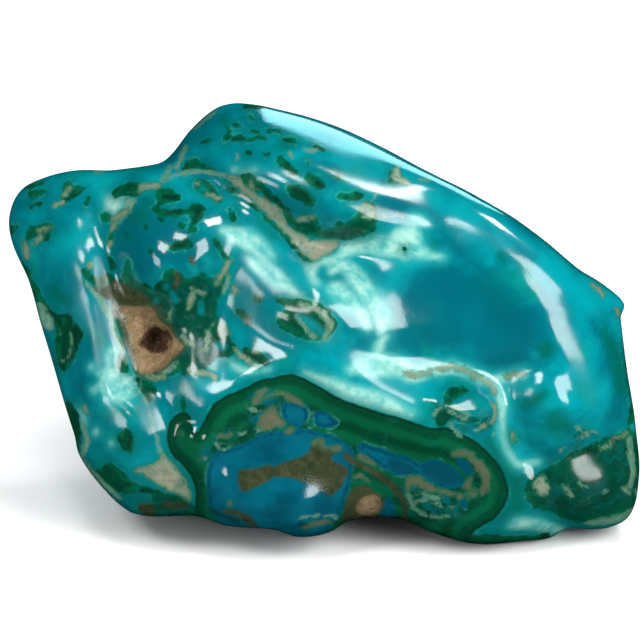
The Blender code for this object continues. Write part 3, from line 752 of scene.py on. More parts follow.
# %% Blue agate pools
AGATE = {
    "left field": [
        [(-13.9, -22.7), (-14.2, -20.4), (-14.1, -18.2), (-13.6, -16.6), (-12.8, -15.7), (-10.9, -15.2),
         (-9.4, -14.6), (-7.6, -13.7), (-5.9, -13.2), (-4.1, -13.3), (-2.4, -12.9), (-0.6, -13.3),
         (1.4, -13.9), (3.1, -14.9), (3.9, -16.2), (3.6, -17.9), (3.4, -19.7), (2.9, -21.4), (2.4, -23.2),
         (1.1, -24.9), (-0.6, -27.8), (-4.1, -28.2), (-6.9, -27.2), (-9.8, -26.9), (-12.6, -24.7)],
    ],
    "upper cells": [
        [(-4.9, -9.9), (-3.9, -9.6), (-2.6, -9.9), (-1.8, -10.8), (-2, -11.9), (-2.9, -12.7),
         (-4.1, -12.3), (-4.9, -11.4)],
        [(-1.1, -10.9), (0.1, -10.7), (1.1, -11.4), (1.9, -12.3), (0.9, -12.8), (-0.6, -12.7)],
        [(-7.2, -9.7, 0.28), (-6.6, -9.7, 0.4)],
        [(-8.2, -11.7, 0.33), (-8.1, -12.2, 0.25)],
    ],
    "right pair": [
        [(4.1, -15.4), (4.4, -14.8), (5.1, -14.7), (6.1, -15.1), (7.4, -15.4), (8.6, -15.9), (9.9, -16.2),
         (10.9, -16.6), (11.8, -17.2), (12.6, -16.8), (13.9, -16.7), (14.9, -17.1), (15.9, -17.7),
         (16.8, -18.6), (17.5, -19.4), (16.9, -20.2), (15.9, -20.4), (14.9, -20.3), (13.6, -19.8),
         (12.4, -19.2), (11.4, -18.6), (10.6, -18.6), (9.4, -18.7), (8.1, -18.3), (7.1, -17.6),
         (6.1, -16.9), (5.1, -16.4), (4.4, -16.1)],
        [(16.1, -16.4), (17, -16.6), (17.9, -17.2), (18.5, -18.1), (18.1, -18.9), (17.4, -18.4),
         (16.6, -17.6)],
        [(17, -21.9, 0.33), (17.4, -22.4, 0.4)],
        [(7, -23.8), (7.4, -22.4), (7.9, -21.3), (8.5, -21.9), (8.9, -22.9), (8.8, -24.7), (7.6, -24.9)],
    ],
}
count_shapes("Blue agate pools", AGATE)

# %% Eyes in the ovals
AGATE_EYES = {
    "right pair": [
        [(7.8, -17.3), (8.6, -16.9), (10.1, -17.1), (11.1, -17.6), (11.1, -18.1), (10.1, -18.3),
         (8.9, -18.1)],
        [(12, -17.6), (12.9, -17.1), (14.1, -17.2), (15.4, -18.1), (16.2, -18.9), (16.2, -19.6),
         (15.4, -19.8), (14.1, -19.4), (12.9, -18.8), (12.1, -18.2)],
        even(0.2, (4.6, -15.4), (5.1, -15.2)),
    ],
}
count_shapes("Eyes in the ovals", AGATE_EYES)

# %% [markdown]
# Matrix is the host rock that the minerals grew in. Part of it is olive brown, and part is a pale tan that
# runs along the grooves. Inside the malachite ring, under the brow, the olive is tan painted darker as shade.
# Wide parts are outlines, and thin veins are strokes, which may widen and narrow from node to node.

# %% Olive matrix, and tan painted olive as shade inside the ring
OLIVE_AND_SHADED_TAN = {
    # Painted shade: tan drawn as olive inside the ring, under the brow.
    "ring": [
        [(-10.1, -18.1), (-8.9, -17.9), (-7.6, -17.7), (-6.6, -17.4), (-5.9, -17.9), (-6.1, -18.7),
         (-6.6, -19.3), (-7.6, -19.8), (-8.9, -20.3), (-9.6, -20.7), (-10.1, -20.2), (-10.4, -19.1)],
        [(-5.9, -17.7), (-4.6, -17.1), (-3.2, -16.6), (-2.1, -16.1), (-1.5, -15.4), (-1.1, -14.6),
         (-0.6, -14.2), (-0.1, -14.4), (0.1, -15.1), (0.9, -15.3), (1.8, -15.4), (1.4, -15.9), (1, -16.6),
         (1.6, -17.2), (2.8, -17.8), (3.1, -18.4), (2.6, -19.3), (2.2, -20.2), (1.5, -20.7), (0.9, -21.2),
         (0.1, -20.7), (-1.1, -19.9), (-2.4, -19.4), (-3.4, -19.1), (-4.6, -18.8), (-5.9, -18.8),
         (-6.6, -18.4)],
        [(3.4, -20.9), (3.9, -20.3), (4.9, -19.9), (5.9, -20.4), (6.6, -21.2), (7.1, -22.2), (7, -23.2),
         (6.1, -23.8), (5.9, -25.4), (3.4, -25.4), (2.4, -23.9), (2.9, -22.4), (2.8, -21.7)],
        [(2.8, -16.2, 0.33), (3.6, -16.9, 0.35), (4.9, -17.6, 0.3), (6.1, -18.2, 0.3), (7.4, -19.1, 0.3),
         (8.4, -19.9, 0.3), (9.2, -20.9, 0.28), (9.9, -21.9, 0.25), (10.1, -23.2, 0.25),
         (10.2, -24.7, 0.25)],
        [(-11.9, -23.1, 0.23), (-10.4, -23.4, 0.35), (-9.1, -24.2, 0.42), (-8.5, -24.9, 0.38)],
    ],
    "pit": [
        [(-28.6, 4.7), (-27.4, 4.1), (-26.4, 4.6), (-25.4, 5.1), (-24.1, 4.6), (-22.9, 4.1), (-21.6, 3.2),
         (-21.4, 2.4), (-22.1, 1.9), (-23.9, 1.9), (-25.1, 2.3), (-26.4, 2.9), (-27.6, 3.4)],
        [(-25.9, 2.8), (-25.1, 2.1), (-24.4, 1.3), (-23.9, 0.1), (-23.4, -1.7), (-23, -3.4), (-22.5, -5.1),
         (-22.4, -6.1), (-23.2, -5.2), (-23.8, -3.7), (-24.2, -2.6), (-24.6, -1.2), (-25, 0.3),
         (-25.8, 1.8)],
        even(0.23, (-17.9, 6.1), (-17.6, 5.2), (-18, 4.4)),
        even(0.23, (-16, 7.8), (-15.8, 7.4)),
    ],
    "lower left": [
        [(-22.4, -22.9, 0.42), (-21.5, -22.9, 0.69), (-21.6, -23.9, 0.62)],
        [(-19.4, -22.2, 0.28), (-18.2, -22.6, 0.33), (-16.9, -22.3, 0.35)],
        [(-18.6, -19.3), (-17.9, -19.7), (-17.1, -20.6), (-16.6, -21.4), (-17.4, -21.2), (-18.1, -20.7),
         (-19.1, -20.6), (-19.6, -20.1)],
    ],
}
count_shapes("Olive matrix", OLIVE_AND_SHADED_TAN)

# %% Tan matrix
TAN = {
    "left lobe": [
        [(-32, 15.7, 0.19), (-31.6, 16.3, 0.24), (-31.2, 16.7, 0.19)],
        [(-33.2, 14.3, 0.19), (-32.6, 14.7, 0.24), (-32.1, 14.9, 0.19)],
        [(-35.2, 11.4, 0.19), (-34.5, 11.7, 0.26), (-33.8, 11.8, 0.19)],
        [(-36, 9.8, 0.19), (-35.4, 10.2, 0.21), (-34.8, 10.7, 0.24), (-34.9, 11.2, 0.19)],
        [(-37.1, 9.9, 0.2), (-37, 9.1, 0.33), (-36.8, 8.3, 0.28)],
    ],
    "valley": [
        [(-25.8, 12.8, 0.19), (-24.9, 13.2, 0.25), (-24, 13.7, 0.2)],
        even(0.19, (-25.6, 12.1), (-26, 11.3)),
        even(0.19, (-26, 9.9), (-26.2, 9.3)),
        [(-28.6, 7.1, 0.28)],
        [(-22.5, 16.3, 0.19), (-22.1, 16.8, 0.33), (-21.2, 16.8, 0.42), (-20.4, 16.9, 0.3)],
    ],
    "left edge": [
        even(0.28, (-29.4, -10.3), (-29, -10.9)),
    ],
    "groove": [
        [(-11.6, 18.1), (-10.6, 17.8), (-9.9, 17.3), (-9.2, 16.4), (-8.1, 15.7), (-7.1, 15.1),
         (-6.4, 14.6), (-5.4, 14.2), (-4.9, 13.3), (-4.5, 12.3), (-3.6, 11.3), (-2.4, 10.6), (-0.9, 10.2),
         (0.9, 10.1), (1.8, 9.9), (1.9, 9.3), (1.2, 8.7), (0.2, 8.3), (-0.4, 7.6), (-1.4, 7.6),
         (-2.1, 8.3), (-2.9, 9.1), (-3.6, 10.1), (-4.6, 11.1), (-5.6, 12.1), (-6.6, 13.1), (-7.6, 14.1),
         (-8.6, 15.1), (-9.6, 15.9), (-10.6, 16.8), (-11.6, 17.6)],
        [(-2.9, 12.6, 0.23), (-1.9, 12.9, 0.25), (-1.1, 12.8, 0.19)],
        [(4.4, 13.8, 0.19), (5.1, 14.2, 0.25), (5.9, 13.9, 0.19)],
        [(9.2, 19.6), (9.5, 18.8), (9.6, 18.1), (10.1, 17.6), (11, 17.3), (10.8, 16.9), (9.9, 16.9),
         (9.1, 17.3), (8.5, 17.7), (8.6, 18.4), (9, 19.1)],
        [(-8.9, 17.3, 0.19), (-8.6, 16.8, 0.2)],
    ],
    "bulb": [
        [(-14.2, 15.8, 0.19), (-13.6, 15.6, 0.19), (-12.9, 15.3, 0.24)],
        even(0.2, (-15.8, 17.2), (-15.5, 17.1)),
        [(-11.4, 7.4, 0.19), (-11.9, 6.6, 0.2), (-12.4, 5.7, 0.24), (-13, 4.9, 0.23)],
    ],
    "pit border": [
        [(-15.8, 4.1, 0.19), (-16, 3.1, 0.21), (-16.4, 1.9, 0.19)],
        [(-15.1, 3.8, 0.2), (-14.6, 3.7, 0.19)],
        [(-17.1, -1.7, 0.19), (-16.5, -2.4, 0.21), (-15.8, -2.7, 0.2)],
        [(-14.1, -1.3, 0.19), (-14.2, -2.4, 0.21), (-14.4, -3.2, 0.19)],
        even(0.19, (-12.6, -0.3), (-12, -0.8), (-11.6, -1.4)),
        even(0.19, (-18.6, 1.3), (-18.9, 0.4)),
        [(-16.2, -5.7, 0.23)],
        even(0.19, (-15.4, -6.1), (-14.4, -6.1), (-13.6, -6.2), (-13.2, -6.7)),
        [(-21.4, -6.4, 0.19), (-20.4, -6.8, 0.24), (-19.4, -6.6, 0.19)],
        [(-10.9, 4.3, 0.2), (-10.6, 3.8, 0.23)],
        [(-13.5, -0.2, 0.19)],
    ],
    "shoulder": [
        [(-10.6, -3.4, 0.26), (-10, -3.9, 0.28), (-9.1, -4.7, 0.23), (-8.2, -5.2, 0.19)],
        [(-2.9, 2.2, 0.19), (-1.4, 1.9, 0.25), (-0.1, 1.2, 0.3), (0.8, 0.2, 0.25), (1, -0.7, 0.19)],
    ],
    "valley vein": [
        [(10.1, -6.1, 0.33), (11.1, -6.4, 0.42), (12.4, -6.1, 0.23), (13.9, -5.7, 0.25),
         (15.4, -5.4, 0.31), (16.6, -5.6, 0.23), (17.9, -6.1, 0.19), (18.9, -6.6, 0.23), (19.9, -7.1, 0.3),
         (20.6, -7.7, 0.3), (21, -8.6, 0.2)],
        [(22.5, -6.7, 0.19), (23.4, -6.4, 0.25), (24.4, -6.3, 0.2)],
        even(0.19, (20.8, -9.9), (21, -10.9), (20.8, -11.8), (20.1, -12.4), (19.4, -12.7)),
        even(0.19, (23.1, -13.8), (23.4, -14.4)),
    ],
    "ring": [
        [(-8.2, -9.6, 0.33), (-7.6, -8.7, 0.33), (-7.1, -8.3, 0.25)],
        [(-6.6, -8.9, 0.2), (-5.6, -8.7, 0.25), (-4.5, -8.9, 0.3), (-3.4, -9.4, 0.25), (-2.4, -10.1, 0.19)],
        [(-7.4, -11.2), (-6.6, -10.6), (-6.1, -10.3), (-5.5, -10.9), (-5, -11.8), (-4.9, -12.6),
         (-5.8, -12.8), (-6.6, -13.1), (-7.5, -12.8), (-7.9, -12.1)],
        even(0.2, (-4.4, -13.4), (-3.9, -13.2)),
        [(-12.6, -13.7, 0.2), (-12, -13.9, 0.23), (-11.4, -13.6, 0.19)],
        [(-1.1, -14.7, 0.19), (-0.5, -14.3, 0.23), (0.1, -15.2, 0.19), (1.1, -15.4, 0.19),
         (1.9, -15.4, 0.19)],
        [(10.1, -20.3), (10.2, -19.3), (11, -18.7), (11.9, -18.9), (12.8, -19.6), (13.8, -20.2),
         (14.6, -20.8), (13.4, -20.8), (12.1, -20.2), (11.1, -19.7), (10.6, -20.4)],
        [(16.1, -15.9, 0.23), (17.1, -15.9, 0.28), (18.1, -16.3, 0.35), (18.9, -17.2, 0.45),
         (19.6, -18.2, 0.53), (20, -19.2, 0.47), (19.9, -20.2, 0.4), (19.4, -20.7, 0.3)],
        [(18.1, -19.2, 0.25), (17.6, -19.9, 0.23), (18.4, -20.4, 0.2)],
        [(14.1, -20.6, 0.19), (15.4, -20.9, 0.19), (16.6, -21.3, 0.3), (17.9, -21.2, 0.23),
         (18.9, -21.1, 0.2)],
        [(4.1, -18.9, 0.2), (4.9, -18.8, 0.25), (5.6, -19.3, 0.19)],
        even(0.19, (4.4, -16.2), (5.4, -16.8), (6.2, -17.3)),
        [(-11.4, -22.2, 0.2)],
        [(-2.1, -25.2, 0.2), (-1.4, -24.8, 0.3), (-0.1, -24.6, 0.33), (0.9, -24.4, 0.2)],
    ],
    "lower left": [
        [(-23.2, -18.2), (-22.4, -17.8), (-21.1, -17.4), (-20.1, -16.8), (-19.5, -16.2), (-18.9, -16.8),
         (-18.1, -17.6), (-17.4, -18.4), (-16.8, -19.7), (-16.4, -20.9), (-16.5, -21.8), (-17.2, -21.2),
         (-18.1, -20.7), (-19.1, -20.7), (-19.6, -20.2), (-20.6, -19.8), (-21.6, -18.9), (-22.5, -18.4)],
    ],
    "right lobe": [
        [(26, -19.4), (26.5, -18.9), (27.2, -19.1), (27.6, -19.7), (27.8, -20.4), (27.5, -21.2),
         (26.9, -21.2), (26.2, -20.7), (26, -20.2)],
        even(0.19, (34.1, -15.4), (35.1, -15.2), (35.9, -14.4), (36.8, -14.2), (37.5, -13.7)),
        even(0.19, (31.4, -14.4), (32.4, -13.7)),
        even(0.19, (29.6, -20.3), (30.1, -20.8), (30.6, -21.2)),
        even(0.19, (37.2, -20.6), (37.9, -21.1)),
        [(33.1, 4.8, 0.19), (33.9, 4.1, 0.23), (34.4, 3.3, 0.19)],
        even(0.19, (36.2, 1.6), (36.6, 0.8)),
    ],
}
count_shapes("Tan matrix", TAN)

# %% [markdown]
# Native copper colours the rough pit at the left, and its middle is a small hole, painted nearly black as
# the shade inside it. A few nodes are enough for both, because the material roughens their edges.

# %% Copper
COPPER = {
    "pit": [
        [(-24.9, 1.9), (-23.6, 1.9), (-22.2, 1.9), (-21.2, 1.9), (-20.6, 1.2), (-20.2, 0.3), (-19.6, -0.2),
         (-18.9, -0.7), (-18.5, -1.4), (-17.8, -2.2), (-17.1, -2.9), (-17.8, -3.7), (-18.6, -4.4),
         (-19.4, -5.4), (-20.4, -5.8), (-21.6, -6.1), (-22.4, -6.1), (-22.9, -4.7), (-23.2, -3.4),
         (-23.6, -1.9), (-24, -0.4), (-24.4, 0.9)],
    ],
    "ring": [
        [(4.6, -21.8), (5.6, -21.3), (6.6, -21.3), (7.1, -22.2), (6.9, -23.1), (6, -23.7), (4.9, -23.6),
         (4.2, -22.8)],
    ],
}
count_shapes("Copper", COPPER)

# %% The hole in the copper pit, painted dark as shade
SHADED_HOLE = {
    "pit": [
        [(-21.5, -1.1), (-20.6, -0.4), (-19.8, -0.8), (-19, -0.9), (-18.6, -1.7), (-18.9, -2.6),
         (-19, -3.3), (-19.8, -3.7), (-20.6, -3.7), (-21.4, -3.4), (-22.1, -3.1), (-22.5, -2.6),
         (-22.1, -1.9)],
    ],
}
count_shapes("The hole in the copper pit", SHADED_HOLE)

# %% [markdown]
# The thickest malachite is nearly black. These strokes mark those cores, and the material fades them into
# the green.

# %% Dark cores
SHADOW = {
    "cores": [
        [(-30.4, -0.7, 0.5), (-30.1, -1.6, 0.53), (-30.5, -2.9, 0.33), (-30.9, -4.1, 0.28)],
        even(0.25, (-32.8, -4.9), (-32.1, -5.4)),
        even(0.23, (-34.1, 1.4), (-32.9, 0.8), (-31.6, 0.9)),
        even(0.23, (-22.8, -6.9), (-22.2, -7.1)),
        [(-23.8, -13.3, 0.23), (-23.5, -14.3, 0.25), (-23.6, -15.4, 0.23)],
        [(-24.6, -14.3, 0.23)],
        [(30.4, -16.1, 0.23), (31.6, -15.8, 0.35), (32.9, -15.7, 0.33), (33.9, -15.6, 0.23)],
        even(0.23, (-22.1, -20.4), (-21.1, -20.4)),
        [(-18.5, -19.4, 0.23)],
        [(-13.9, -22.9, 0.3), (-11.9, -23.9, 0.3), (-10.4, -24.4, 0.23)],
        [(-19.4, -2.2, 0.23)],
        even(0.23, (-9.6, -3.6), (-8.4, -4.1), (-7.4, -4.7)),
        [(-8.2, 2.9, 0.3)],
        [(-9.4, 0.6, 0.28)],
        [(-3.5, 16.3, 0.3), (-2.6, 15.8, 0.38), (-1.8, 14.9, 0.4)],
        [(-0.6, 17.1, 0.3), (-0.2, 16.6, 0.25)],
        [(3.4, 11.1, 0.42), (2.1, 10.8, 0.38), (4.6, 11.1, 0.3), (0.9, 10.7, 0.23)],
        [(2.8, 15.3, 0.25)],
        even(0.23, (-6.9, 15.4), (-5.9, 15.1), (-4.9, 14.1)),
        [(-10.8, 24.4, 0.23)],
        even(0.23, (-9.6, 22.4), (-11.9, 22.8)),
        [(-18.9, 13.6, 0.3), (-17.4, 13.6, 0.28)],
        [(-15.1, 13.8, 0.33), (-15.8, 12.1, 0.28)],
        even(0.28, (-18.1, 9.2), (-16.9, 9.4)),
        [(-19.4, 15.3, 0.33), (-17.9, 15.4, 0.23)],
        [(-25.9, 7.4, 0.23)],
        even(0.23, (35.6, -14.4), (36.2, -14.7), (36.8, -14.4)),
        even(0.23, (29.6, -22.2), (30.2, -22.3)),
        even(0.23, (-2.9, -24.6), (-2.1, -24.8)),
    ],
}
count_shapes("Dark cores", SHADOW)

# %% [markdown]
# Seafoam is the pale, chalky chrysocolla that lies along the valleys. On the brow, the shoulder, the flank
# and the eye bump the pale crust is a painted highlight. It has no clear edge, so loose shapes do for it,
# and the noise in the material does the rest. A thinner, greyer film rims the islands and runs in veins,
# and on the eye bump it paints the highlight too.

# %% Seafoam crusts, and painted highlights
SEAFOAM_AND_PAINTED_HIGHLIGHTS = {
    "valley": [
        [(-26.6, 15.7), (-25.9, 15.6), (-24.9, 15.7), (-24.2, 15.7), (-24.5, 14.8), (-24.9, 13.9),
         (-25.4, 13.2), (-25.9, 12.9), (-26.2, 13.6), (-27, 13.8), (-26.9, 14.8)],
    ],
    "lower left": [
        [(-27.9, -5.8), (-27.1, -6.1), (-26.4, -5.4), (-26.5, -4.4), (-26.2, -3.4), (-25.6, -3.1),
         (-25, -3.7), (-25.1, -4.9), (-24.9, -5.6), (-24.1, -6.3), (-23.1, -6.8), (-22.4, -7.4),
         (-22.5, -8.2), (-23.1, -8.9), (-24.1, -9.4), (-25.4, -9.7), (-26.4, -9.2), (-27.1, -8.4),
         (-27.5, -7.6), (-27.1, -6.9)],
        [(-28.4, -5.4, 0.2)],
        [(-27.9, -8.2, 0.28)],
        [(-29.9, -10.9, 0.17), (-29.5, -11.7, 0.28), (-29.4, -12.4, 0.2)],
        [(-27.8, -13.4, 0.23)],
        [(-25.9, -14.8, 0.15)],
        [(-23.6, -4.2, 0.15), (-23.2, -5.2, 0.2), (-22.8, -6.4, 0.15)],
    ],
    "shelf": [
        [(2.1, 9.9), (3.4, 10.1), (4.9, 10.2), (6.4, 10.6), (7.9, 10.4), (8.6, 11.3), (9.6, 11.7),
         (11.1, 11.8), (11.9, 10.8), (12.1, 9.6), (13.1, 8.6), (14.6, 8.1), (14.1, 7.8), (12.6, 7.9),
         (11.1, 8.1), (9.9, 7.8), (8.6, 8.1), (7.1, 8.3), (5.4, 8.6), (3.6, 8.3), (2.6, 7.8), (1.9, 7.1),
         (0.9, 6.8), (-0.1, 7.1), (-0.9, 5.8), (-0.4, 4.8), (-1.1, 4.6), (-1.9, 5.8), (-2.1, 7.1),
         (-1.1, 7.6), (-0.1, 7.8), (1.6, 8.3), (2.1, 9.1)],
        [(-10.9, 18.7, 0.15), (-9.6, 18.4, 0.2), (-8.4, 18.6, 0.17)],
        [(11.1, 12.9, 0.2), (11.9, 12.6, 0.28), (12.6, 12.1, 0.2)],
    ],
    "leaf": [
        [(-13.6, -5.4, 0.2), (-13.1, -4.6, 0.16), (-12.1, -4.4, 0.15), (-11.1, -4.9, 0.23),
         (-10.1, -5.7, 0.38), (-8.9, -5.8, 0.33), (-7.6, -5.6, 0.23), (-6.6, -5.6, 0.15)],
    ],
    # Painted highlight: the white swirl on the eye bump.
    "eye": [
        [(-4.1, 2.3, 0.25), (-2.6, 2.6, 0.38), (-0.9, 2.2, 0.38), (0.4, 1.3, 0.42), (0.9, -0.2, 0.42),
         (0.4, -1.7, 0.33)],
        [(-3.4, 1.3, 0.2), (-2.4, 0.1, 0.3), (-1.4, -1.2, 0.33), (-0.4, -1.9, 0.25)],
    ],
    "pale valley": [
        [(3.4, -5.7, 0.42), (4.9, -5.4, 0.88), (6.6, -5.2, 1.38), (8.6, -5.3, 1.19), (10.1, -5.8, 1),
         (11.1, -6.4, 1), (12.6, -5.9, 0.69), (14.1, -5.7, 0.69), (15.9, -5.6, 0.65), (17.4, -5.9, 0.53),
         (18.9, -6.6, 0.47), (20.4, -7.1, 0.53), (21.6, -6.9, 0.47), (23.1, -6.6, 0.4), (24.5, -6.3, 0.35)],
        [(6.6, -3.7, 0.5), (7.1, -2.4, 0.5), (7.6, -1.7, 0.25)],
        [(21.1, -7.7, 0.45), (21.6, -8.9, 0.57), (21.9, -10.4, 0.53), (21.9, -11.9, 0.33),
         (22, -13.4, 0.28), (22.4, -14.9, 0.28), (23.1, -16.3, 0.29), (24.1, -17.4, 0.29),
         (25.4, -17.2, 0.23), (26.4, -17.2, 0.17)],
    ],
    # Painted highlight: the white band along the brow.
    "brow": [
        [(-2.1, -6.1, 0.25), (-0.1, -6.9, 0.5), (2.1, -7.9, 0.69), (4.4, -8.7, 0.88), (6.6, -9.4, 0.94),
         (8.6, -10.2, 0.88), (10.6, -11.1, 0.5)],
        [(2.1, -8.4, 0.5), (4.6, -9.3, 0.62), (7.1, -9.9, 0.62), (9.4, -10.7, 0.42)],
    ],
    # Painted highlight: the pale glow on the flank left of the face.
    "flank": [
        [(1.1, 6.3, 0.5), (2.4, 7.1, 0.62), (3.6, 6.1, 0.88), (4.9, 4.3, 1), (6.1, 2.6, 1),
         (7.1, 0.6, 0.88), (7.1, -1.2, 0.5)],
        [(1.4, 4.1, 0.75), (3.1, 2.8, 0.88), (4.6, 1.3, 0.75), (5.4, -0.4, 0.5)],
    ],
    # Painted highlight: the white band along the shoulder.
    "shoulder": [
        [(-12.1, 11.2, 0.5), (-10.4, 10.6, 1), (-8.9, 9.9, 1.12), (-7.6, 9.1, 0.88), (-6.4, 8.1, 0.5)],
        [(-8.4, 7.3, 0.62), (-6.4, 6.1, 0.75), (-4.4, 4.3, 0.62), (-2.9, 3.1, 0.38)],
    ],
    "underside": [
        [(22.9, -25.2), (23.6, -24.4), (24.6, -24.1), (26.1, -24.3), (27.6, -24.7), (29.1, -25.3),
         (29.9, -25.6), (29.1, -26.2), (28.1, -26.3), (27.1, -25.9), (25.9, -25.4), (24.4, -25.4)],
    ],
}
count_shapes("Seafoam crusts", SEAFOAM_AND_PAINTED_HIGHLIGHTS)

# %% Grey-green rims and veins, and a painted highlight on the eye bump
LICHEN_AND_PAINTED_HIGHLIGHT = {
    "left edge": [
        [(-35.4, 2.6), (-34.6, 2.1), (-33.9, 1.1), (-33.4, 0.1), (-33.4, -0.7), (-34.1, -0.9),
         (-34.9, -0.4), (-35.9, 0.9)],
        [(-29.6, -12.7, 0.33), (-29.2, -13.7, 0.38), (-29, -14.7, 0.38), (-29.4, -15.8, 0.38),
         (-29.9, -16.6, 0.3)],
        [(-29.9, -16.9, 0.23), (-28.1, -18.9, 0.3), (-26.6, -20.4, 0.35), (-25.1, -21.7, 0.25)],
        even(0.19, (-31.1, -1.4), (-30.9, -2.4), (-31, -3.4), (-31.4, -4.2)),
        [(-32.4, -1.4, 0.19)],
        [(-32.2, -4.8, 0.19)],
    ],
    "valley": [
        [(-24.1, 15.3), (-23.4, 15.4), (-22.9, 14.8), (-23.6, 13.7), (-24.6, 12.6), (-25.5, 11.7),
         (-25.9, 11.2), (-26.2, 11.4), (-25.8, 12.6), (-25, 13.6), (-24.5, 14.6)],
        [(-18.9, 19.3, 0.25), (-19.4, 18.3, 0.33), (-19.9, 17.6, 0.28)],
        [(-17.1, 21.8, 0.28), (-17.5, 20.6, 0.33), (-18.1, 19.3, 0.42)],
        even(0.2, (-28.4, 18.8), (-27.4, 18.9)),
        [(-15.9, 24.3, 0.2), (-14.6, 25.4, 0.25), (-13.4, 26.4, 0.25)],
    ],
    "pit border": [
        [(-19.4, -6.2, 0.28), (-18.6, -5.6, 0.38), (-17.9, -4.9, 0.28)],
        [(-11.9, 6.3, 0.19), (-11.6, 5.1, 0.23), (-12.1, 3.8, 0.28)],
        [(-22.6, -8.3, 0.19), (-21.9, -9.1, 0.19), (-21.4, -10.2, 0.19), (-21, -11.6, 0.19),
         (-20.6, -13.2, 0.19), (-20.2, -14.4, 0.21), (-20, -15.4, 0.25), (-19.6, -16.4, 0.2)],
    ],
    "hump": [
        [(4.9, 12.9, 0.25), (5.6, 12.9, 0.42), (6.1, 13.3, 0.2)],
        [(-2.1, 21.3, 0.2), (-1.4, 21.1, 0.33), (-0.6, 21.2, 0.19)],
        even(0.19, (-4.1, 20.9), (-3.9, 20.4)),
        [(0.1, 8.8, 0.19), (0.9, 9.1, 0.23), (1.5, 9.3, 0.19)],
        even(0.19, (-10.6, 20.7), (-10.4, 19.9)),
        even(0.19, (6, 14.9), (6.4, 15.6), (6.9, 16.3)),
        even(0.19, (7.1, 13.2), (8.1, 12.8), (8.9, 13.2), (9.8, 12.9)),
        even(0.19, (11.9, 17.6), (13.1, 17.8)),
    ],
    "groove": [
        [(-20.6, 16.9, 0.19), (-19.6, 17.6, 0.2), (-18.1, 18.2, 0.25), (-16.4, 18.6, 0.28),
         (-14.6, 18.6, 0.28), (-12.9, 18.2, 0.28), (-11.1, 17.7, 0.3)],
    ],
    # Painted highlight: the pale swirl on the eye bump.
    "eye": [
        [(-2.9, 2.3, 0.2), (-1.1, 1.8, 0.38), (0.4, 0.6, 0.42), (0.9, -0.7, 0.38), (0.1, -1.9, 0.25)],
        [(-3.1, 0.8, 0.2), (-2.1, -0.7, 0.3), (-1.1, -1.8, 0.28)],
    ],
    "wall": [
        [(-29.1, 4.9, 0.2), (-28.1, 3.8, 0.33), (-26.9, 2.1, 0.4), (-25.9, 0.1, 0.38), (-25.1, -2.2, 0.28),
         (-24.1, -4.7, 0.23)],
    ],
    "knuckle": [
        even(0.19, (13.6, -11.2), (14.1, -10.4), (14.9, -10.2)),
        even(0.19, (15.9, -10.1), (16.9, -10.6), (17.9, -11.2)),
        even(0.19, (15.4, -10.7), (16.4, -11.3), (17.4, -11.7)),
        even(0.19, (15.4, -12.2), (16.1, -13.3), (16.9, -13.8)),
        even(0.19, (18.5, -13.2), (19, -13.2)),
        [(20.9, -13.7, 0.19)],
    ],
    "right lobe": [
        [(37.9, -14.4, 0.33), (38.2, -16.6, 0.42), (38.4, -18.4, 0.42), (38, -20.3, 0.33)],
        [(32.8, -24.8, 0.3), (34.6, -24.7, 0.42), (36.9, -24.2, 0.45), (38.8, -23.2, 0.3)],
        [(29.1, -15.7, 0.2), (29.6, -15.4, 0.19)],
        even(0.19, (30.9, -12.8), (31.9, -13.4)),
        even(0.19, (33.1, -13.4), (33.6, -13.6)),
        [(32.2, -17.9, 0.19)],
        [(32.8, -20.3, 0.19)],
        even(0.19, (38.6, -20.7), (39.2, -21.4)),
        even(0.19, (31.4, -19.8), (31.9, -20.2)),
        even(0.19, (34.4, -20.9), (34.9, -20.7)),
    ],
    "ring": [
        [(-9.4, -10.2, 0.19), (-8.6, -10.6, 0.24), (-8, -10.7, 0.19)],
        [(-8.1, -13.2, 0.2), (-7.4, -12.9, 0.25)],
        even(0.19, (-10, -13.6), (-9.5, -13.4)),
        [(-13, -14.8, 0.2), (-12.8, -15.2, 0.19)],
        even(0.19, (-12.1, -15.6), (-11.6, -15.3)),
        [(-14.2, -16.6, 0.19)],
        even(0.19, (-3, -24.2), (-2.4, -23.8), (-1.4, -23.6), (-0.1, -23.7), (1.1, -23.7), (1.6, -24.2)),
        even(0.19, (11.1, -22.2), (12.6, -21.8), (14.1, -22.1), (14.6, -22.6)),
        even(0.19, (11.4, -20.7), (13.1, -21.2), (14.6, -21.6)),
        even(0.19, (11.9, -23.4), (13.9, -23.9), (15.6, -23.7)),
        even(0.19, (10.6, -21.2), (10.9, -22.4), (11.6, -23.2)),
    ],
}
count_shapes("Grey-green rims and veins", LICHEN_AND_PAINTED_HIGHLIGHT)

# %% [markdown]
# A few bright cells of turquoise show through the malachite. They go on after it, so they lie on top.

# %% Turquoise cells in the green
TEAL = {
    "pit border": [
        [(-14.9, 2.4, 0.3), (-14.9, 1.4, 0.38)],
        [(-12.9, -2.8, 0.42), (-12.1, -2.9, 0.4)],
        [(-13.1, -4.9, 0.33), (-12.1, -5.1, 0.42)],
        [(-20.4, 2.7, 0.3)],
        [(-18.4, 3.6, 0.28), (-17.9, 2.7, 0.38)],
        [(-16, 7.1, 0.57), (-15.6, 6.3, 0.47)],
        [(-14.2, 8.1, 0.69), (-13.9, 6.8, 0.75)],
        [(-19.1, 4.4, 0.3)],
    ],
    "bulb": [
        [(-14.9, 16.6, 0.35), (-14.4, 16.3, 0.25)],
    ],
    "knuckle": [
        [(20.1, -10.1, 0.4), (19.9, -10.9, 0.4), (18.9, -11.4, 0.2)],
    ],
    "ring": [
        [(1.4, -15.9, 0.42), (1.9, -16.6, 0.38)],
        [(2.4, -17.6, 0.38)],
        [(-0.6, -11.7, 0.5), (0.4, -12.2, 0.38)],
    ],
    "eye": [
        [(-2.9, 0.8, 0.38), (-1.9, 0.1, 0.62), (-0.6, -0.9, 0.62), (0.1, -1.4, 0.3)],
    ],
}
count_shapes("Turquoise cells in the green", TEAL)
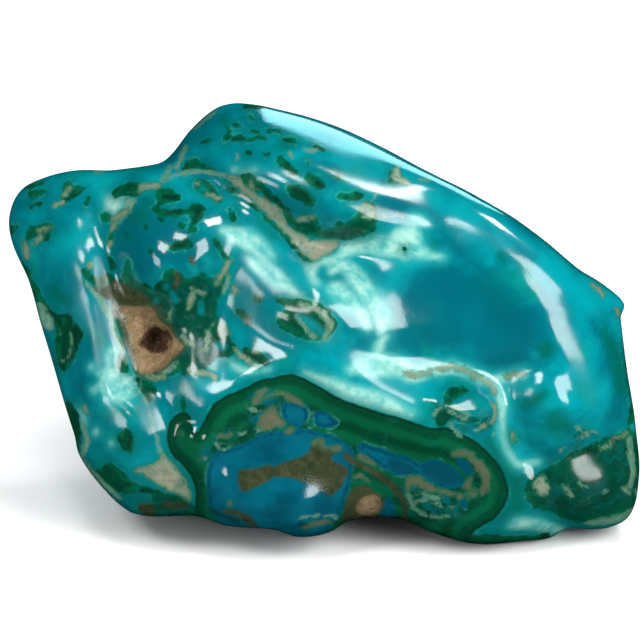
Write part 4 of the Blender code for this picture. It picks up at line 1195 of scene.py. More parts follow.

# %% [markdown]
# The turquoise itself is darker in some places, brighter in others, and a little greener in a few. Some of
# the darker places are painted shade, in the hollow beside the bulb, under the upper hump and down the
# right flank. Some of the brighter ones are a painted highlight, along the right edge and the shoulder.
# These edges are soft, so the shapes can be loose.

# %% Deeper pools of the body, some of them painted shade
DEEP_TONE_AND_SHADE = {
    "bulb": [
        [(-26.4, 11.3), (-25.4, 12.6), (-23.9, 13.3), (-22.1, 14.6), (-20.4, 13.6), (-18.4, 12.3),
         (-16.9, 11.3), (-15.4, 10.3), (-14.4, 9.1), (-13.9, 7.6), (-14.6, 6.3), (-16.6, 5.8),
         (-18.6, 6.8), (-19.9, 5.8), (-21.6, 4.6), (-23.1, 5.3), (-24.6, 6.6), (-26.1, 7.6), (-26.6, 9.3)],
    ],
    # Painted shade on the lower side of the upper hump, under its overhang.
    "hump": [
        [(-2.4, 14.6), (-0.9, 15.4), (0.9, 14.8), (2.8, 13.8), (3.8, 12.9), (2.4, 12.3), (1.1, 11.8),
         (-0.1, 11.6), (-0.6, 12.6), (-1.4, 13.6)],
        [(6.4, 14.8), (7.6, 15.3), (9.1, 14.9), (10.8, 14.3), (10.1, 13.3), (8.6, 12.9), (7.1, 13.6)],
        [(8.6, 12.6, 0.38), (9.6, 12.7, 0.25)],
        [(-6.9, 17.6, 0.5), (-5.4, 16.3, 0.75), (-4.6, 14.8, 0.5)],
        [(0.9, 17.1, 0.62), (1.4, 18.1, 0.5)],
    ],
    "face": [
        [(11.1, 4.6), (12.6, 6.2), (14.6, 6.8), (16.9, 7.1), (18.9, 6.3), (21.1, 5.1), (23.6, 3.8),
         (25.6, 2.1), (26.6, -0.4), (26.4, -2.9), (25.1, -4.7), (22.9, -5.7), (20.6, -5.4), (17.9, -3.7),
         (14.6, -3.9), (12.1, -2.8), (9.9, -0.9), (9.2, 1.3), (9.8, 3.1)],
        [(15.1, 10.6, 0.38), (16.9, 8.6, 0.62), (19.1, 6.6, 0.62), (21.9, 4.3, 0.62), (24.6, 2.8, 0.75)],
    ],
    "lower left": [
        [(-25.4, -21.8, 0.38), (-23.6, -21.8, 0.62), (-21.6, -21.7, 0.62), (-20.1, -21.2, 0.25)],
        [(-28.9, -0.9, 0.38), (-28.4, -2.8, 0.5), (-29.1, -4.7, 0.5), (-29.4, -7.2, 0.62),
         (-29.1, -9.1, 0.5)],
    ],
    # Painted shade in the hollow beside the bulb.
    "speckled": [
        [(-15.4, 3.8, 0.62), (-13.4, 2.8, 0.88), (-12.6, -0.9, 1), (-13.6, -3.7, 0.88)],
    ],
    # Painted shade down the right flank, where the surface turns away, and low on the right.
    "right": [
        [(25.1, -14.7, 0.38), (26.5, -15.7, 0.5), (27.8, -16.7, 0.5)],
        [(33.6, -0.9, 1.12), (35.4, -3.4, 1.25), (36.6, -7.8, 1.12), (36.6, -11.6, 1)],
        [(23.4, -18.4, 1), (23.6, -20.9, 1.12), (22.9, -22.8, 1)],
    ],
}
count_shapes("Deeper pools of the body", DEEP_TONE_AND_SHADE)

# %% Greener blooms
BLOOM = {
    "face": [
        [(27.2, -3.4, 1.12)],
        [(28.5, -12.4, 1.62)],
        [(23.6, -14.2, 0.62)],
        [(22.1, 7.6, 0.62), (21.6, 8.1, 0.5)],
    ],
    "lower": [
        [(-24, -14.4, 1.12)],
        [(13.4, -13.7, 0.5)],
        [(24.1, -19.4, 0.75), (24.2, -22.2, 1.12), (23.4, -23.9, 0.75)],
        [(20.4, -14.7, 0.75), (22, -16.7, 0.75), (23, -18.9, 0.88), (23.2, -21.2, 0.88)],
        [(34.6, -0.9, 0.88), (35.9, -3.4, 1), (36.9, -7.8, 1)],
        even(0.75, (27.1, -8.7), (25.1, -9.9)),
        [(-32.1, 2.8, 1), (-33.1, 4.1, 0.75)],
        even(0.5, (13.4, 9.3), (13.9, 8.3)),
        [(-22.9, 13.1, 1), (-21.6, 14.6, 0.5)],
    ],
    "top": [
        [(-4.4, 22.1, 1)],
        [(-12.1, 25.1, 0.62)],
        [(-14.6, 19.6, 0.5)],
        [(-7.6, 11.6, 0.38), (-6.4, 10.3, 0.5)],
    ],
}
count_shapes("Greener blooms", BLOOM)

# %% Brighter bays, some of them painted highlights
LIGHT_TONE_AND_HIGHLIGHT = {
    "lobe": [
        [(-32.9, 9.1, 1.25), (-30.4, 10.3, 1), (-29.1, 12.6, 1)],
        [(-21.6, 17.8, 0.62), (-19.1, 17.1, 0.75), (-15.4, 15.3, 1), (-11.6, 14.6, 1)],
        [(-32.9, 17.2, 0.5), (-29.1, 17.6, 0.62), (-25.4, 17.8, 0.5)],
    ],
    # Painted highlight: the light-blue glow on the shoulder.
    "shoulder": [
        [(-7.6, 11.3, 0.5), (-4.8, 8.8, 0.75), (-2.9, 5.9, 0.88), (-1.6, 3.8, 0.75)],
        [(-2.9, 4.6, 0.62), (1.5, 2.8, 0.5)],
    ],
    "slope": [
        [(2.1, 21.6, 0.75), (5.9, 20.3, 0.88), (9.6, 18.4, 0.88), (14.6, 14.7, 0.88), (18.4, 12.6, 0.75)],
        [(8.6, 6.3, 1), (7.9, 4.1, 1), (9.6, 7.6, 0.75)],
    ],
    "lower": [
        [(-26.4, -9.4, 0.75), (-23.5, -9.4, 0.62), (-21.6, -9.7, 0.5)],
        [(10.9, -9.2, 0.38), (12.6, -7.7, 0.5), (14.6, -7.2, 0.38)],
        [(24.6, -7.7, 0.62), (27.1, -8.7, 1), (29.6, -9.2, 0.75)],
    ],
    # Painted reflection: the pale blue band of sky light along the top right edge.
    "right edge": [
        [(26.6, 9.9, 0.15), (28.4, 8.3, 0.23), (29.9, 6.9, 0.3)],
        [(31.9, 5.3), (33.4, 5.1), (35.1, 4.2), (36.2, 3.2), (36.8, 2.2), (35.9, 2.2), (34.5, 2.8),
         (33.1, 3.7)],
    ],
}
count_shapes("Brighter bays", LIGHT_TONE_AND_HIGHLIGHT)

# %% [markdown]
# In places the minerals break into cells too small to draw one by one. These outlines say only where that
# happens, and a pattern in the material makes the cells.

# %% Where the pattern breaks into small cells
CELLS = {
    "all": [
        [(-21.6, 2.8), (-19.4, 5.1), (-16.6, 4.8), (-13.6, 4.8), (-12.1, 3.8), (-12.9, 1.3), (-11.4, -0.9),
         (-10.6, -3.2), (-12.1, -4.4), (-14.6, -5.9), (-16.9, -6.1), (-17.6, -3.7), (-16.6, -2.7),
         (-18.4, -0.9), (-19.9, 0.6)],
        [(-9.1, -9.3), (-7.6, -8.1), (-5.4, -8.3), (-2.9, -9.3), (-1.6, -10.7), (-1.9, -12.7),
         (-4.1, -13.4), (-6.6, -13.7), (-8.5, -13.9), (-10, -13.8), (-9.1, -12.2)],
        [(-15, -16.7), (-14.9, -15.4), (-13.6, -14.7), (-12.9, -13.4), (-11.4, -13.2), (-9.9, -13.2),
         (-8.9, -12.9), (-8.4, -13.6), (-9.1, -14.3), (-10.4, -14.9), (-12.1, -15.4), (-13.1, -15.9),
         (-14, -17.2)],
        [(10.1, -18.9), (11.1, -18.6), (12.4, -19.4), (13.9, -20.2), (15.6, -20.9), (18.4, -20.7),
         (19.6, -20.9), (18.9, -22.3), (17.4, -23.6), (15.6, -24.3), (13.4, -24.4), (11.1, -23.9),
         (10, -22.2), (9.9, -20.7)],
        [(29.6, -12.7), (31.6, -12.7), (33.4, -13.2), (34.1, -14.2), (32.6, -14.9), (30.4, -15.7),
         (28.6, -16.7), (27.1, -17.4), (25.9, -18.4), (25.4, -20.2), (25.6, -22.2), (27.4, -22.9),
         (29.6, -23.7), (32.1, -23.7), (34.6, -23.2), (36.9, -22.2), (38.9, -20.9), (38.6, -18.4),
         (37.9, -16.2), (37.4, -14.2), (35.4, -14.7), (33.4, -15.4), (31.1, -16.2)],
        [(-20.9, -21.2), (-19.1, -21.2), (-16.6, -21.9), (-15.6, -23.2), (-16.6, -24.7), (-20.4, -24.4)],
        [(-2.9, -24.2), (-0.6, -23.7), (1.4, -23.9), (0.9, -25.4), (-1.6, -26.2), (-3.1, -25.4)],
        [(13.1, -10.2), (14.6, -9.4), (16.4, -10.2), (18.4, -11.4), (20.9, -9.9), (21.4, -12.2),
         (20.6, -13.7), (17.9, -13.4), (16.1, -13.7), (14.1, -12.4)],
    ],
}
count_shapes("Where the pattern breaks into small cells", CELLS)

# %% [markdown]
# Polish can be drawn as well as colour. It is a little softer on the broad swells, so that the light
# spreads there, and tumbling never reached the valley beside the copper pit or the dip below it. Two more
# sets of strokes say where.

# %% Swells with a softer polish
SATIN = {
    "swells": [
        [(20.9, 9.7, 0.5), (24.6, 8.8, 0.62), (27.1, 5.9, 0.75), (28.6, 2.2, 0.88), (30.4, -1.6, 0.88),
         (31.5, -5.3, 0.75), (32.8, -9.1, 0.75)],
        [(-12.6, 11.1, 0.88), (-10.4, 9.6, 1.75), (-8.1, 7.6, 2.25), (-6, 5.3, 2.25), (-3.9, 3.3, 1.5)],
        [(2.1, 4.1, 1.5), (3.6, 5.9, 1.25), (5.1, 3.8, 2.12), (6.1, 1.3, 2.5), (7.1, -1.2, 1.62),
         (7.9, -3.2, 1)],
        [(-0.6, -7.2, 0.62), (2.1, -8.2, 0.88), (4.9, -9.2, 1), (7.8, -10.1, 1), (10.1, -10.9, 0.75)],
        [(3.4, -3.7, 1), (6.1, -5.7, 1.38), (8.6, -7.4, 1.5), (11.1, -8.9, 1)],
        [(-17.1, -1.4, 0.88), (-14.9, -3.4, 1.25), (-12.6, -4.9, 1.12)],
        [(-18.4, -7.2, 1.12), (-15.4, -7.7, 1)],
        even(1.12, (-24.9, -8.7), (-25.6, -11.2)),
        [(31.5, -16.9, 1.5), (33.4, -19.7, 1.62)],
        even(0.62, (23.6, -7.9), (25.9, -8.7)),
        [(2.1, 18.4, 0.88), (4.1, 17.6, 1.12), (6.4, 16.8, 1.12), (9.1, 16.3, 0.62), (12.1, 14.7, 1),
         (14.1, 12.6, 0.75)],
        [(4, 14.6, 0.88), (7.8, 13.6, 1), (12.1, 12.1, 0.88)],
        [(-9.9, 18.2, 0.38), (-7.6, 18.3, 0.62), (-4.9, 17.9, 0.62), (-2.4, 17.1, 0.5)],
        [(-30.1, 9.1, 0.75), (-30.4, 5.9, 1.12), (-30.1, 2.2, 1.38), (-29.4, -0.3, 1.12)],
        [(-10.4, 4.7, 1), (-8.4, 1.8, 1.25), (-5.9, -1.6, 1.12)],
        [(-4.1, 2.2, 0.62), (-1.6, 0.9, 1.12), (0.2, -0.9, 0.88)],
        even(0.75, (6.9, 7.6), (8.4, 7.3)),
        [(15.4, 12.6, 0.75), (18.4, 11.3, 1), (22.1, 10.3, 0.88)],
    ],
}
count_shapes("Swells with a softer polish", SATIN)

# %% Hollows the polish never reached
DULL = {
    "pit": [
        [(-27.6, 7.6, 0.5), (-27.1, 4.1, 0.62), (-26.9, 0.3, 0.75), (-26.9, -3.4, 0.88),
         (-25.9, -6.9, 0.88)],
        even(1, (-21.6, -9.7), (-21.4, -12.2)),
    ],
}
count_shapes("Hollows the polish never reached", DULL)

# %% [markdown]
# The outlines are drawn on the show face. Seen from the side they would run straight back like the
# letters in a stick of rock, so behind the rim the drawing wanders with the clouds and gives way to
# patches that come from clouds alone. Both are distances, and the nearer of the two wins.

# %% The drawing behind the rim
STRAY, CLOUD_TO_MM, RIM_WIDTH = 3.0, 0.42, 5.0


def wandering(points, behind):
    """The drawing's (u, v) for each point, wandering by up to 3 mm behind the rim."""
    stray = STRAY * smoothstep(-1.0, 6.0, behind)
    return (
        points[:, 0] + stray * clouds(points, 6.0, 1),
        points[:, 1] + stray * clouds(points, 6.0, 2),
    )


def cloud_patches(points, size, cover, seed):
    """Patches of a mineral inside the stone: the clouds above a level, as a rough distance in mm."""
    height = clouds(points, size, seed) + 0.45 * clouds(points, size * 0.45, seed + 50)
    return np.clip((cover - height) * size * CLOUD_TO_MM, -FAR, FAR)


drawn_u, drawn_v = wandering(face_points, behind)
edge = behind + 2.0 * clouds(face_points, 7.0, 3) - RIM_WIDTH
print(f"The drawing covers {100 * np.mean(edge < 0):.0f} % of the vertices, and clouds the rest")

# %% [markdown]
# A named attribute on the mesh keeps one number for each vertex, and the material can read it by that
# name. The seven small or show-face minerals have no size, so they stay off the back.

# %% Distances for every vertex
def draw(name, regions, size=None, cover=1.0, seed=0):
    """Stores a mineral's distance on the stone: the nearer of its drawing and, given a size, its clouds."""
    face = np.maximum(mineral_distance(drawn_u, drawn_v, regions), edge)
    if size:
        face = np.minimum(face, np.maximum(cloud_patches(face_points, size, cover, seed), -edge))
    attribute = stone.data.attributes.new(name, "FLOAT", "POINT")
    attribute.data.foreach_set("value", face)
    print(f"{name}: {100 * np.mean(face < 0):.1f} % of the vertices")


draw("malachite", MALACHITE, 9.0, 0.5, 11)
draw("ring", RING)
draw("agate", AGATE, 13.0, 1.3, 12)
draw("agate_eyes", AGATE_EYES)
draw("olive", OLIVE_AND_SHADED_TAN, 8.0, 1.35, 13)
draw("tan", TAN, 6.0, 1.2, 14)
draw("copper", COPPER, 8.0, 1.7, 15)
draw("hollow", SHADED_HOLE)
draw("shadow", SHADOW)
draw("seafoam_and_highlight", SEAFOAM_AND_PAINTED_HIGHLIGHTS, 9.0, 1.05, 16)
draw("lichen_and_highlight", LICHEN_AND_PAINTED_HIGHLIGHT, 6.0, 1.2, 17)
draw("teal", TEAL)
draw("deep", DEEP_TONE_AND_SHADE, 13.0, 0.55, 18)
draw("bloom", BLOOM)
draw("light", LIGHT_TONE_AND_HIGHLIGHT, 13.0, 0.6, 19)
draw("cells", CELLS, 14.0, 0.8, 20)
draw("satin", SATIN, 14.0, 2.0, 21)
draw("dull", DULL)

# %% [markdown]
# ## The polished stone
#
# Polished chrysocolla is opaque, glossy as glaze, and its colour is never even: milky clouds, deeper
# pools, thin pale rims round the malachite, and dark bands inside it. The material is long, so it is
# written as sums. A small class wraps a shader socket, and Python's own operators add the nodes.

# %% Shader sockets that can be added, scaled and compared
class Wire:
    """A shader socket as a value. Sums on numbers become Math nodes, and on vectors Vector Math nodes."""

    tree = None

    def __init__(self, socket):
        self.socket = socket

    @classmethod
    def node(cls, kind, settings=(), sockets=(), output=0):
        """A node of any kind: its settings first, then its sockets' values or links."""
        made = cls.tree.nodes.new("ShaderNode" + kind)
        for name, value in dict(settings).items():
            setattr(made, name, value)
        for name, value in dict(sockets).items():
            if isinstance(value, Wire):
                cls.tree.links.new(value.socket, made.inputs[name])
            else:
                made.inputs[name].default_value = value
        return cls(made.outputs[output])

    def maths(self, operation, *others):
        """One Math node, or one Vector Math node where the socket is a vector."""
        kind = "VectorMath" if self.socket.type == "VECTOR" else "Math"
        terms = dict(enumerate((self, *others)))
        if kind == "VectorMath" and operation == "SCALE":
            terms = {"Vector": self, "Scale": others[0]}
        return Wire.node(kind, {"operation": operation}, terms)

    def __add__(self, other): return self.maths("ADD", other)
    def __sub__(self, other): return self.maths("SUBTRACT", other)
    def __rsub__(self, other): return Wire.node("Math", {"operation": "SUBTRACT"}, {0: other, 1: self})
    def __truediv__(self, other): return self.maths("DIVIDE", other)
    def __abs__(self): return self.maths("ABSOLUTE")

    def __mul__(self, other):
        return self.maths("SCALE" if self.socket.type == "VECTOR" else "MULTIPLY", other)

    __radd__, __rmul__ = __add__, __mul__

    def least(self, other): return self.maths("MINIMUM", other)
    def sine(self): return self.maths("SINE")

    def rise(self, low, high):
        """0 below low and 1 above high, with a smooth S between, or falling where low is above high."""
        ends = {"Value": self, "From Min": low, "From Max": high}
        return Wire.node("MapRange", {"interpolation_type": "SMOOTHSTEP"}, ends)

    def inside(self, soft, out=0.0):
        """1 where a distance is below out, 0 beyond it, over a soft edge in millimetres."""
        return self.rise(out + soft, out - soft)

# %% Display colours, and two colours mixed
def colour(red, green, blue):
    """A display colour, 0 to 255, as the linear colour that a shader works in.

    Each part runs straight up close to black, and follows a power of 2.4 above that.
    """
    part = [x / 255 for x in (red, green, blue)]
    return [x / 12.92 if x <= 0.04045 else ((x + 0.055) / 1.055) ** 2.4 for x in part] + [1.0]


MIX_FACTOR, MIX_UNDER, MIX_OVER, MIX_RESULT = 0, 6, 7, 2


def mix(factor, under, over):
    """Under where factor is 0 and over where it is 1, both colours."""
    sockets = {MIX_FACTOR: factor, MIX_UNDER: under, MIX_OVER: over}
    return Wire.node("Mix", {"data_type": "RGBA"}, sockets, output=MIX_RESULT)


print("Display grey 128 is", round(colour(128, 128, 128)[0], 3), "to a shader")

# %% Start the material, and the noises it shares
finish = bpy.data.materials.new("polished_chrysocolla_finish")
finish.use_nodes = True
Wire.tree = finish.node_tree
shader = finish.node_tree.nodes["Principled BSDF"]
place = Wire.node("TexCoord", output="Object")


def noise(size, detail=2.0, roughness=0.5, distortion=0.0):
    """Noise about 0.5 whose blobs are size millimetres across."""
    settings = {"Vector": place, "Scale": 1.0 / (size * MM), "Detail": detail, "Roughness": roughness}
    settings["Distortion"] = distortion
    return Wire.node("TexNoise", {"noise_dimensions": "3D"}, settings)


def field(name):
    """A mineral's signed distance in millimetres, as stored on the stone."""
    return Wire.node("Attribute", {"attribute_name": name}, output="Fac")


def count_nodes(step):
    """Prints how large the material is after a step."""
    print(f"{step}: {len(finish.node_tree.nodes)} nodes so far")


coarse = noise(3.2, 3.0) - 0.5
medium = noise(1.1, 3.0, 0.6) - 0.5
fine = noise(0.34, 3.0, 0.65) - 0.5
streak = noise(2.2, 5.0, 0.6, distortion=1.6) - 0.5
ragged = medium * 0.8 + fine * 0.28
count_nodes("Shared noises")

# %% [markdown]
# The turquoise comes first. A large cloud shifts it between a darker and a brighter blue, another turns it
# greener in places, and finer ones make it milky. One noise could do all of this, but then every patch
# would have the same size, and that looks like a print.

# %% Turquoise body
milk = noise(9.0, 4.0, 0.55, distortion=0.5).rise(0.36, 0.66)
green_cloud = noise(6.0, 3.0, 0.5, distortion=0.8).rise(0.5, 0.68)
bright_milk = (coarse + streak * 0.8).rise(0.0, 0.42)
dark_milk = (coarse * 0.7 - streak).rise(0.04, 0.4)
body = mix(milk, colour(0, 91, 101), colour(0, 121, 130))
body = mix(green_cloud * 0.6, body, colour(3, 112, 100))
body = mix(bright_milk * 0.4, body, colour(6, 131, 133))
body = mix(dark_milk * 0.4, body, colour(0, 80, 90))
count_nodes("Turquoise body")

# %% [markdown]
# The drawn pools, bays and blooms push that body darker, brighter or greener. Part of the darker pools is
# painted shade and part of the brighter bays a painted highlight. Each distance wanders with the noises and
# fades over more than a millimetre, so no drawn edge can be seen. The whole stone also turns greener and
# darker towards its foot, through a soft border between 22 mm and 4 mm above the floor: painted shade,
# for the top light reaches the lower part less.

# %% Pools, bays, blooms, and painted shade towards the foot
# Part of the darker pools is painted shade: beside the bulb, under the hump and down the right flank.
deep = (field("deep") + coarse * 2.6 + medium * 1.2).inside(1.5)
# Along the right edge and on the shoulder the brighter bays are a painted highlight.
light = (field("light") + coarse * 2.4 + streak * 1.6).inside(1.4)
bloom = (field("bloom") + coarse * 1.8 + medium).inside(1.0)
height = Wire.node("SeparateXYZ", {}, {"Vector": place}, output="Z") / MM
# Painted shade: greener and darker towards the floor, where the top light reaches less.
painted_shade_low = (height + coarse * 14.0).rise(22.0, 4.0)
body = mix(deep * 0.8, body, colour(0, 74, 87))
body = mix(light * 0.6, body, colour(4, 132, 137))
body = mix(bloom * 0.85, body, colour(0, 80, 68))
body = mix(painted_shade_low * 0.4, body, colour(0, 80, 66))
count_nodes("Pools, bays, blooms and foot")

# %% [markdown]
# Where the malachite and the chrysocolla meet, the stone breaks into small cells. A Voronoi pattern gives
# the cells, bent out of shape by a noise so that none has a straight side, and each cell takes its own
# mineral by chance. The gaps between them fill with pale dust.

# %% Broken zones of small cells
CELL_SCALE, BEND_SCALE, BEND_REACH = 860.0, 700.0, 0.0022
swirl = Wire.node("TexNoise", {}, {"Vector": place, "Scale": BEND_SCALE, "Detail": 3.0}, output=1)
bent = place + Wire.node("RGBToBW", {}, {"Color": swirl}) * BEND_REACH
voronoi = {"Vector": bent, "Scale": CELL_SCALE}
cell_colour = Wire.node("TexVoronoi", {"feature": "F1"}, voronoi, output=1)
cell_gap = Wire.node("TexVoronoi", {"feature": "DISTANCE_TO_EDGE"}, voronoi)
cell_kind = Wire.node("SeparateColor", {}, {"Color": cell_colour})
dust = (cell_gap + fine * 0.12).rise(0.11, 0.0) * (streak + coarse).rise(-0.05, 0.35)
crumbs = mix(cell_kind.rise(0.3, 0.38), colour(2, 76, 80), colour(3, 62, 46))
crumbs = mix(cell_kind.rise(0.74, 0.8), crumbs, colour(3, 48, 38))
crumbs = mix(dust * 0.6, crumbs, colour(84, 116, 92))
broken = (field("cells") + ragged * 1.6).inside(0.7)
body = mix(broken * (coarse + medium).rise(-0.25, 0.15) * 0.85, body, crumbs)
count_nodes("Broken zones")

# %% [markdown]
# Seafoam is chalkier than the body and lies on it like a skin that is thick in some places and worn
# through in others. A faint halo goes down first, and over it the crust itself, whose cover and whose
# whiteness both follow the coarse noise. A clean edge would make it look like paint. On the brow, the
# shoulder, the flank and the eye bump the same pale crust is a painted highlight.

# %% Seafoam crusts, and painted highlights
# On the brow, the shoulder, the flank and the eye bump this pale crust is a painted highlight.
seafoam_and_highlight = field("seafoam_and_highlight") + ragged * 0.7 + coarse * 1.2
chalk = (coarse + medium * 0.6 + streak * 0.5).rise(-0.25, 0.3)
foam_and_painted_highlight = mix(chalk, colour(64, 148, 144), colour(140, 184, 172))
cover = seafoam_and_highlight.inside(0.6) * (coarse + streak * 0.5 + 0.3).rise(-0.15, 0.25)
body = mix(seafoam_and_highlight.inside(0.8, 0.7) * 0.55, body, colour(30, 138, 136))
body = mix(cover, body, foam_and_painted_highlight)
count_nodes("Seafoam")

# %% [markdown]
# Agate is laid down in layers, so each pool has a navy line a little way in from its shore, and the small
# ovals have a darker eye. The colour of the pools is mixed here, but it goes on the stone only after the
# ring that surrounds them.

# %% Agate pools
agate = field("agate") + medium * 0.3
eyes = (field("agate_eyes") + medium * 0.3).inside(0.25)
navy_line = abs(agate + 0.3 + medium * 0.5).rise(0.4, 0.0) * (coarse + streak + 0.1).rise(-0.1, 0.3)
pool = mix(coarse.rise(-0.25, 0.2), colour(1, 60, 76), colour(1, 80, 97))
pool = mix((streak + medium * 0.4).rise(0.12, 0.4) * 0.5, pool, colour(6, 98, 110))
pool = mix(navy_line * 0.75, pool, colour(0, 46, 66))
pool = mix(eyes * 0.85, pool, colour(2, 58, 74))
count_nodes("Agate pools")

# %% [markdown]
# Malachite is never one green. It is darkest in the middle of an island, turns teal where it thins out
# towards the turquoise, and in places a hair-thin pale line follows its shore.

# %% The shore of the malachite
malachite = field("malachite") + ragged * 1.2 + coarse * 0.35
ring = field("ring") + coarse * 0.5 + medium * 0.3
shore = malachite.least(ring)
pale_line = abs(shore - 0.18 + fine * 0.3).rise(0.2, 0.0) * (streak + coarse).rise(-0.05, 0.3)
body = mix(shore.rise(1.5, 0.0) * 0.5, body, colour(2, 86, 82))
body = mix(pale_line * 0.6, body, colour(40, 134, 112))
count_nodes("Shore")

# %% Malachite
core = (malachite + coarse * 1.5).rise(-0.2, -0.9)
green = mix((coarse * 1.2 + medium + fine * 0.25).rise(-0.3, 0.35), colour(1, 54, 36), colour(4, 86, 60))
green = mix(core * 0.6, green, colour(2, 48, 32))
dark_crumbs = mix(0.45, crumbs, colour(2, 52, 44))
green = mix(broken * (coarse + medium).rise(-0.3, 0.15) * 0.8, green, dark_crumbs)
body = mix(malachite.inside(0.14), body, green)
count_nodes("Malachite")

# %% [markdown]
# The ring is banded as malachite is when it grows inwards layer by layer. The ring is stored as a
# distance, so a sine of it gives bands that follow its shape, and a little noise inside the sine makes
# them swell and pinch. Inside the ring the stone is broken again, with a few bright turquoise cells.

# %% The banded ring
band = (ring * 2.6 + coarse * 3.4).sine()
edge_line = abs(ring + 0.2 + medium * 0.3).rise(0.3, 0.08)
ring_green = mix(band.rise(-0.8, 1.0), colour(2, 54, 34), colour(3, 74, 47))
ring_green = mix((streak + coarse * 0.6).rise(0.05, 0.4) * 0.6, ring_green, colour(4, 84, 66))
ring_green = mix(edge_line * 0.85, ring_green, colour(3, 42, 30))
body = mix(ring.inside(0.12), body, ring_green)
count_nodes("Ring")

# %% What lies inside the ring
inner = broken * ring.inside(0.3, -0.6)
body = mix(inner * (streak + medium).rise(-0.35, 0.1) * 0.9, body, crumbs)
teal = (field("teal") + medium * 0.8).inside(0.45)
body = mix(teal * 0.85, body, mix(medium.rise(-0.2, 0.2), colour(0, 96, 94), colour(4, 118, 122)))
pool_rim = abs(agate - 0.16).rise(0.24, 0.04) * (streak + coarse).rise(0.0, 0.25)
body = mix(pool_rim * 0.5, body, colour(48, 118, 110))
body = mix(agate.inside(0.12), body, pool)
count_nodes("Inside the ring")

# %% [markdown]
# The matrix goes on top of all that. Its edges are the most ragged, and parts of each vein fade out, so a
# threshold that wanders with the streaks thins it instead of cutting it clean. The olive and the tan first
# change the colour just around them, which sets them into the stone. Inside the ring, which lies under the
# brow and faces down, the tan is painted darker towards olive as shade, and the olive there is painted shade
# too.

# %% Olive matrix, partly tan painted as shade inside the ring, and grey-green rims
olive = field("olive") + ragged * 0.7
rock = mix((streak + medium * 0.6 + fine * 0.25).rise(-0.3, 0.35), colour(30, 42, 24), colour(58, 62, 38))
rock = mix((coarse + streak).rise(0.1, 0.5) * 0.6, rock, colour(76, 70, 46))
body = mix(olive.inside(0.4, 0.2) * 0.4, body, colour(20, 60, 40))
body = mix(olive.inside(0.25), body, rock)
# The grey-green on the eye bump is a painted highlight.
lichen_and_highlight = (field("lichen_and_highlight") + ragged * 1.8).inside(0.2)
grey = mix(medium.rise(-0.15, 0.2), colour(66, 112, 92), colour(104, 138, 116))
body = mix(lichen_and_highlight * (streak + 0.25).rise(-0.1, 0.2) * 0.8, body, grey)
count_nodes("Olive and grey-green")

# %% Tan matrix
tan = field("tan") + ragged * 1.8 + streak * 0.8 + coarse * 0.35
clay = mix((streak + medium * 0.7 + fine * 0.2).rise(-0.35, 0.35), colour(74, 102, 84), colour(138, 136, 116))
clay = mix(coarse.rise(0.0, 0.25) * 0.5, clay, colour(126, 110, 92))
clay = mix((tan + streak).rise(-0.6, 0.1) * 0.5, clay, colour(72, 118, 92))
# Painted shade: inside the ring, under the brow, the tan is darkened towards olive.
clay = mix(ring.inside(0.3) * 0.75, clay, colour(64, 66, 44))
body = mix(tan.inside(0.25, 0.25) * 0.6, body, colour(14, 84, 60))
body = mix(tan.inside(0.3) * (streak + medium * 0.6 + 0.3).rise(-0.1, 0.25) * 0.95, body, clay)
count_nodes("Tan matrix")

# %% [markdown]
# The pit is lined with earthy native copper, paler in the middle and browner at its rim, and it ends in a
# hole painted nearly black as the shade inside it. The dark cores of the malachite go on here too. Last of
# all the colour darkens a little towards the foot: painted shade, for the top light reaches the lower part
# less.

# %% Copper, the painted shade in its hole, the dark cores, and painted shade at the foot
copper = field("copper") + ragged * 0.7
copper_rim = (copper + coarse + medium * 0.6).rise(-1.0, 0.2) * copper.inside(0.2)
ore = mix((streak + medium * 0.5 + fine * 0.3).rise(-0.3, 0.3), colour(86, 68, 42), colour(150, 122, 86))
ore = mix((coarse + fine * 0.6).rise(0.05, 0.35) * 0.8, ore, colour(160, 126, 90))
body = mix(copper.inside(0.5, 0.3) * 0.6, body, colour(74, 70, 40))
body = mix(copper.inside(0.25), body, ore)
body = mix(copper_rim * 0.55, body, colour(88, 78, 46))
shadow = (field("shadow") + ragged * 0.7).inside(0.35)
body = mix(shadow * 0.8, body, colour(4, 38, 28))
# Painted shade: the hole in the copper pit is coloured nearly black and brown.
hollow = (field("hollow") + ragged * 1.8).inside(0.3)
painted_hole_shade = mix((fine + medium * 0.6).rise(-0.1, 0.2), colour(34, 20, 4), colour(98, 66, 32))
body = mix(hollow, body, painted_hole_shade)
# Painted shade: the colour darkens a little towards the floor.
painted_shade_foot = (height + coarse * 8.0).rise(26.0, -4.0)
body = mix(painted_shade_foot * 0.3, body, colour(0, 26, 20))
Wire.tree.links.new(body.socket, shader.inputs["Base Color"])
count_nodes("Copper and cores")

# %% [markdown]
# Tumbling gives nearly all of the stone one wet-looking polish. It is a shade softer on the swells, which
# spreads their highlights, and on the matrix, and it never reached the copper or the dull hollows. The
# bump for the grain is strong on the copper, slight on the matrix, and faint everywhere else.

# %% Gloss and grain
POLISH = 0.1
matrix = tan.least(copper).least(olive).inside(0.25)
rough = copper.inside(0.3)
swell = field("satin") + coarse * 1.5
satin = swell.inside(1.2) + swell.rise(-0.2, -2.4) * 0.7
dull = field("dull").inside(0.9)
gloss = POLISH + satin * 0.12 + dull * 0.4 + matrix * 0.12 + rough * 0.35 + fine.rise(0.1, 0.5) * 0.04
Wire.tree.links.new(gloss.socket, shader.inputs["Roughness"])
grain = medium * 0.1 + fine * 0.04 + matrix * fine * 0.2 + rough * (medium + fine) * 2.0
bump = Wire.node("Bump", {}, {"Strength": 0.5, "Distance": 0.3 * MM, "Height": grain})
Wire.tree.links.new(bump.socket, shader.inputs["Normal"])
stone.data.materials.append(finish)
count_nodes("Polished stone")

# %% [markdown]
# ## Camera, floor and light
#
# The show face leans back by 22 degrees, and the camera looks down by the same angle, so it sees the face
# square on. A long lens keeps the outline true to its drawing.

